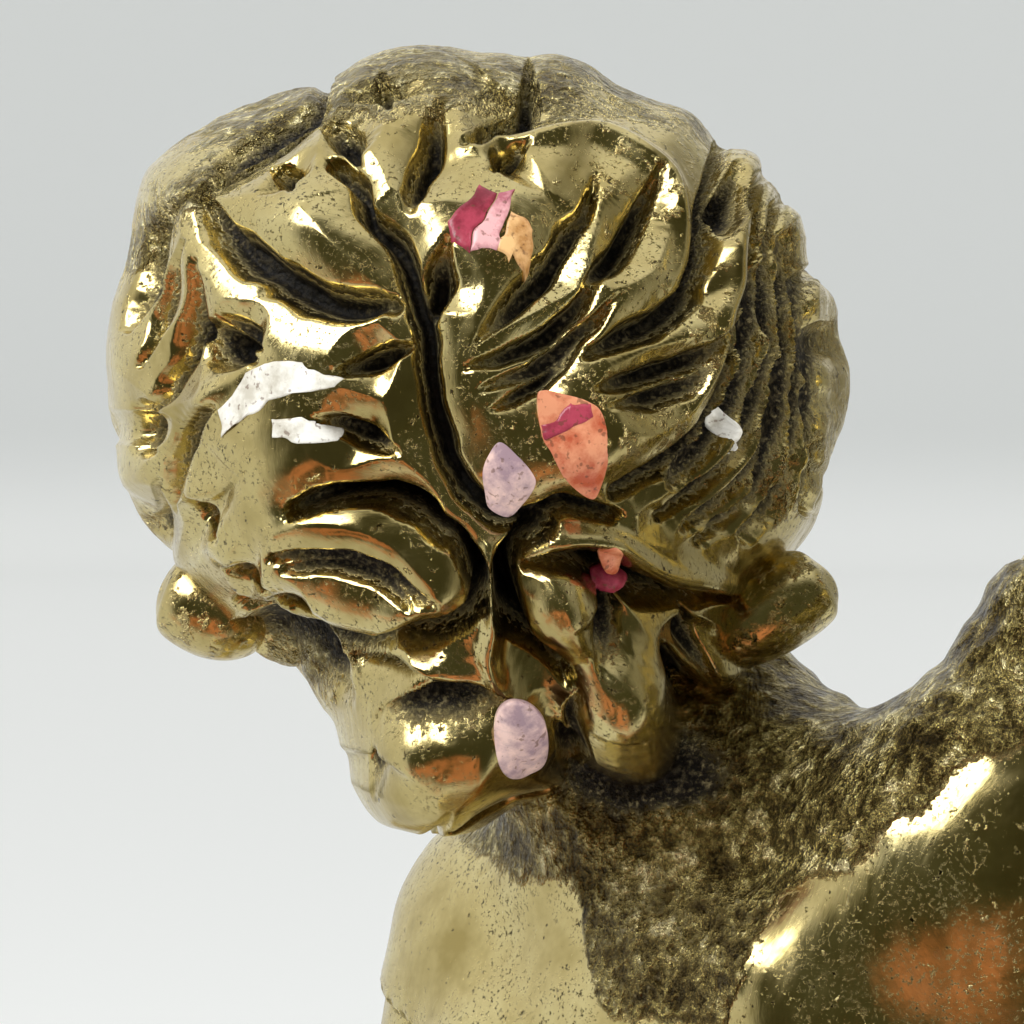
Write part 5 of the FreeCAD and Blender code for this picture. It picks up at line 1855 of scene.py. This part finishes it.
SPOTS = (
    Spot("wax_film_upper", Finish.WAX, ((-6.5, -0.3), (-6.4, -0.9), (-6.2, -0.6), (-5.6, -0.4),
        (-5.2, 0.0), (-4.45, 0.2), (-3.6, 0.3), (-3.45, 0.55), (-4.45, 0.95), (-5.4, 0.9), (-5.8, 0.7),
        (-6.15, 0.1)), 0.05),
    Spot("wax_film_lower", Finish.WAX, ((-5.1, -0.9), (-4.45, -1.05), (-3.6, -1.1), (-3.7, -0.75),
        (-4.45, -0.45), (-5.2, -0.5)), 0.05),
    Spot("red_flake", Finish.RED, ((-0.73, 4.5), (-0.7, 4.0), (-0.25, 3.72), (-0.17, 4.0), (0.2, 4.65),
        (0.46, 5.2), (0.1, 5.45), (-0.1, 5.15), (-0.57, 4.75)), 0.05),
    Spot("pink_flake", Finish.PINK, ((-0.23, 3.75), (0.1, 3.85), (0.43, 3.72), (0.6, 4.15), (0.78, 4.65),
        (0.9, 5.3), (0.5, 5.2), (0.22, 4.6), (-0.14, 4.0)), 0.05),
    Spot("amber_flake", Finish.AMBER, ((0.46, 3.72), (0.82, 3.45), (0.95, 3.6), (1.18, 3.15),
        (1.38, 3.55), (1.4, 4.3), (1.1, 4.55), (0.8, 4.65), (0.62, 4.15)), 0.04),
    Spot("coral_drop", Finish.ORANGE, ((1.54, 0.05), (1.62, -0.9), (1.82, -1.3), (2.2, -2.0), (2.8, -2.5),
        (3.05, -2.35), (3.2, -1.5), (3.13, -0.4), (2.77, -0.03), (2.2, 0.15), (1.7, 0.25)), 0.06, True),
    Spot("dark_stripe", Finish.RED, ((1.58, -0.65), (1.7, -1.0), (2.3, -0.7), (2.88, -0.4), (2.78, -0.1),
        (2.3, 0.0), (2.1, -0.3)), 0.09),
    Spot("lilac_drop", Finish.LILAC, ((0.12, -1.85), (0.26, -1.4), (0.54, -1.05), (0.94, -1.35),
        (1.3, -1.75), (1.42, -2.1), (1.15, -2.65), (0.78, -3.0), (0.3, -2.8),
        (0.18, -2.4))[::-1], 0.12, True),
    Spot("coral_fleck", Finish.ORANGE, ((3.0, -3.7), (3.05, -4.0), (3.2, -4.3), (3.45, -4.25),
        (3.5, -3.75), (3.25, -3.5)), 0.08, True),
    Spot("red_drop", Finish.RED, ((3.0, -4.5), (3.05, -4.95), (3.4, -5.05), (3.8, -4.8), (3.85, -4.5),
        (3.4, -4.3)), 0.35, True),
    Spot("pink_drop", Finish.LILAC, ((0.4, -8.3), (0.5, -8.8), (0.8, -9.1), (1.25, -9.1), (1.6, -8.8),
        (1.7, -8.3), (1.6, -7.8), (1.25, -7.5), (0.8, -7.5), (0.5, -7.8)), 0.22, True),
    Spot("wax_fleck", Finish.WAX, ((6.4, -0.5), (6.5, -1.1), (6.7, -1.55), (7.0, -1.45), (7.05, -1.0),
        (6.85, -0.6), (6.7, -0.2)), 0.06),
)


# ----------------------------------------------------------------------------------------- hardware


@dataclass
class Stud:
    """M8 stud: a screw thread rolled on a round bar, with a chamfered end."""

    radius: float = 4.0
    pitch: float = 1.25
    depth: float = 0.70
    low: float = -30.0
    high: float = 11.0

    def build(self) -> bpy.types.Object:
        """Thread surface: the radius falls and rises once a pitch, and the wave climbs one pitch a turn.

        Returns:
            The new object.
        """
        columns, per_pitch = 72, 14
        rows = int((self.high - self.low) / self.pitch * per_pitch)
        angle = np.linspace(0, 2 * math.pi, columns, endpoint=False)[None, :]
        height = np.linspace(self.low, self.high, rows)[:, None]
        phase = (height / self.pitch - angle / (2 * math.pi)) % 1.0
        wave = np.clip(np.abs(phase - 0.5) * 2.0 * 1.25 - 0.125, 0.0, 1.0)
        chamfer = np.clip((height - self.low) / 0.8, 0.0, 1.0)
        radius = (self.radius - self.depth * wave) * (0.82 + 0.18 * chamfer)
        radius = np.minimum(radius, self.radius - 0.8 * (1.0 - chamfer))
        rings = np.stack([radius * np.cos(angle), radius * np.sin(angle), height + 0 * angle], axis=-1)
        piece = tube_object("threaded_stud", rings)
        return dress(piece, Finish.ZINC)


CAD_FINISHES = {
    "right_arm_dowel": Finish.DOWEL, "left_arm_dowel": Finish.DOWEL, "raised_leg_dowel": Finish.DOWEL,
    "foot_dowel": Finish.DOWEL, "dome_casting": Finish.TURNED, "flange_casting": Finish.TURNED,
    "foot_screw": Finish.ZINC, "dome_screws": Finish.ZINC, "hood_pins": Finish.ZINC,
    "rubber_pad": Finish.RUBBER, "fibre_washer": Finish.FIBRE, "backing_plate": Finish.ZINC,
    "plain_washer": Finish.ZINC, "lock_washer": Finish.SPRING, "hex_nut": Finish.ZINC,
}


# ------------------------------------------------------------------------------------------- studio


@dataclass
class Studio:
    """Plain pale floor and wall, soft light from all round, and the camera."""

    floor_level: float = -0.031
    wall_distance: float = 9.0
    cove_radius: float = 2.5

    def stage(self) -> None:
        """Floor curving up into a wall, in profile a line, a quarter circle and a line; painted shade greys
        it upwards.
        """
        arc = np.linspace(0, math.pi / 2, 24)
        y = np.concatenate([[-6.0], self.wall_distance - self.cove_radius + self.cove_radius * np.sin(arc),
                            [self.wall_distance]])
        z = np.concatenate([[0.0], self.cove_radius - self.cove_radius * np.cos(arc), [9.0]])
        z += self.floor_level
        x = np.array([-9.0, 9.0])
        grid = np.stack([np.broadcast_to(x, (len(y), 2)), np.repeat(y[:, None], 2, 1),
                         np.repeat(z[:, None], 2, 1)], axis=-1)
        stage = put_mesh("pale_floor", grid.reshape(-1, 3) / MM, [grid_faces(len(y), 2)])
        material, add = new_material("matt pale paper")
        _, _, z = add("SeparateXYZ", add("TexCoord", output="Object")).node.outputs
        # painted shade: the paper's colour greys from the floor up the wall
        height = add("MapRange", z, -0.03, 0.35, **SMOOTH_MAP)
        colour = add("ValToRGB", height, stops=[(0.0, "fafbfa"), (1.0, "e2e4e3")])
        add("OutputMaterial", add("BsdfPrincipled", Base_Color=colour, Roughness=0.9))
        stage.data.materials.append(material)
        stage.visible_glossy = False

    def world(self) -> None:
        """Light from all round: white above and at the sides, dark behind the figure, warm below that."""
        world = bpy.data.worlds.new("soft studio")
        bpy.context.scene.world = world
        world.use_nodes = True
        world.node_tree.nodes.clear()
        add = partial(add_node, world.node_tree)
        way = add("TexCoord", output="Generated")
        x, y, z = add("SeparateXYZ", way).node.outputs
        wobble = add("Math", add("TexNoise", way, Scale=2.6, Detail=3.0), 0.5, operation="SUBTRACT")
        facing = add("Math", add("Math", y, -1.0, operation="MULTIPLY"),
                     add("Math", wobble, 0.45, operation="MULTIPLY"), operation="ADD")
        dark = add("MapRange", facing, 0.22, 0.50, **SMOOTH_MAP)
        warm = add("MapRange", facing, 0.10, 0.30, **SMOOTH_MAP)
        blobs = add("TexNoise", way, Scale=6.0, Detail=1.0)
        for value, low, high in ((z, -0.32, -0.48), (blobs, 0.46, 0.51), (x, 0.45, 0.20)):
            limit = add("MapRange", value, low, high, **SMOOTH_MAP)
            warm = add("Math", warm, limit, operation="MULTIPLY")
        sky = add("ValToRGB", add("MapRange", z, -0.4, 0.9, **SMOOTH_MAP),
                  stops=[(0.0, "dfe0dc"), (0.5, "ecedec"), (1.0, "f4f4f2")])
        shade = add("Math", add("MapRange", x, 0.20, 0.70, **SMOOTH_MAP), 0.8, operation="MULTIPLY")
        shade = add("Math", shade, add("MapRange", z, -0.50, -0.15, **SMOOTH_MAP), operation="MULTIPLY")
        seen = sky
        for share, code in ((shade, "77756a"), (dark, "4a4a39"), (warm, "d99474")):
            seen = add("Mix", share, i6=seen, i7=linear(code), **COLOUR_MIX)
        rays = add("LightPath").node.outputs
        plain = add("Math", rays["Is Camera Ray"], rays["Is Diffuse Ray"], operation="MAXIMUM")
        colour = add("Mix", plain, i6=seen, i7=linear("f0f1f0"), **COLOUR_MIX)
        add("OutputWorld", add("Background", Color=colour, Strength=1.0))

    def lights(self) -> None:
        """Large soft key light from the upper left behind the viewer and a fill from the right."""
        for name, place, energy, size, target in (
            ("key", (-0.25, -0.20, 0.38), 1.5, 0.25, (0.0, 0.0, 0.10)),
            ("fill", (0.32, -0.05, 0.30), 0.9, 0.25, (0.0, 0.0, 0.10)),
        ):
            lamp = bpy.data.lights.new(name, "AREA")
            lamp.energy = energy
            lamp.size = size
            holder = bpy.data.objects.new(name, lamp)
            bpy.context.scene.collection.objects.link(holder)
            holder.location = place
            way = unit(np.array(target) - np.array(place))
            holder.rotation_euler = (math.acos(-way[2]), 0.0, math.atan2(way[1], way[0]) - math.pi / 2)
            holder.visible_glossy = (name == "key")

    def camera(self) -> None:
        """Camera level with the nape, straight behind the figure."""
        lens = bpy.data.cameras.new("camera")
        lens.sensor_width = 36.0
        lens.lens = 105.5
        lens.clip_start = 0.005
        lens.clip_end = 60.0
        holder = bpy.data.objects.new("camera", lens)
        bpy.context.scene.collection.objects.link(holder)
        x, z = HEAD_CENTRE[0] + VIEW_CENTRE[0], HEAD_CENTRE[2] + VIEW_CENTRE[1]
        holder.location = (x * MM, -VIEW_DISTANCE * MM, z * MM)
        holder.rotation_euler = (math.pi / 2, 0.0, 0.0)
        bpy.context.scene.camera = holder

    def build(self) -> None:
        """Sets up floor, light and camera."""
        self.stage()
        self.world()
        self.lights()
        self.camera()
        bpy.context.scene.view_settings.view_transform = "Standard"


def main() -> None:
    """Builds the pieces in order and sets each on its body."""
    logging.basicConfig(level=logging.INFO, format="%(name)s: %(message)s")
    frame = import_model()
    Studio().build()
    head = Head()
    body_pieces = head.build() + Tunic().build()
    body_pieces += [spot.build(head.hair) for spot in SPOTS]
    for piece in body_pieces:
        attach(piece, "ornament")
        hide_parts("body_casting")
        LOG.info("%s: %d faces", piece.name, len(piece.data.polygons))
    for piece, node in Figure().build():
        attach(piece, "ornament")
        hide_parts(node)
    stud = Stud().build()
    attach(stud, "ornament")
    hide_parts("mounting_stud")
    LOG.info("%s: %d faces", stud.name, len(stud.data.polygons))
    for node, finish in CAD_FINISHES.items():
        dress(frame["nodes"][node], finish)
        LOG.info("%s: %s", node, finish.value.name)


if __name__ == "__main__":
    main()
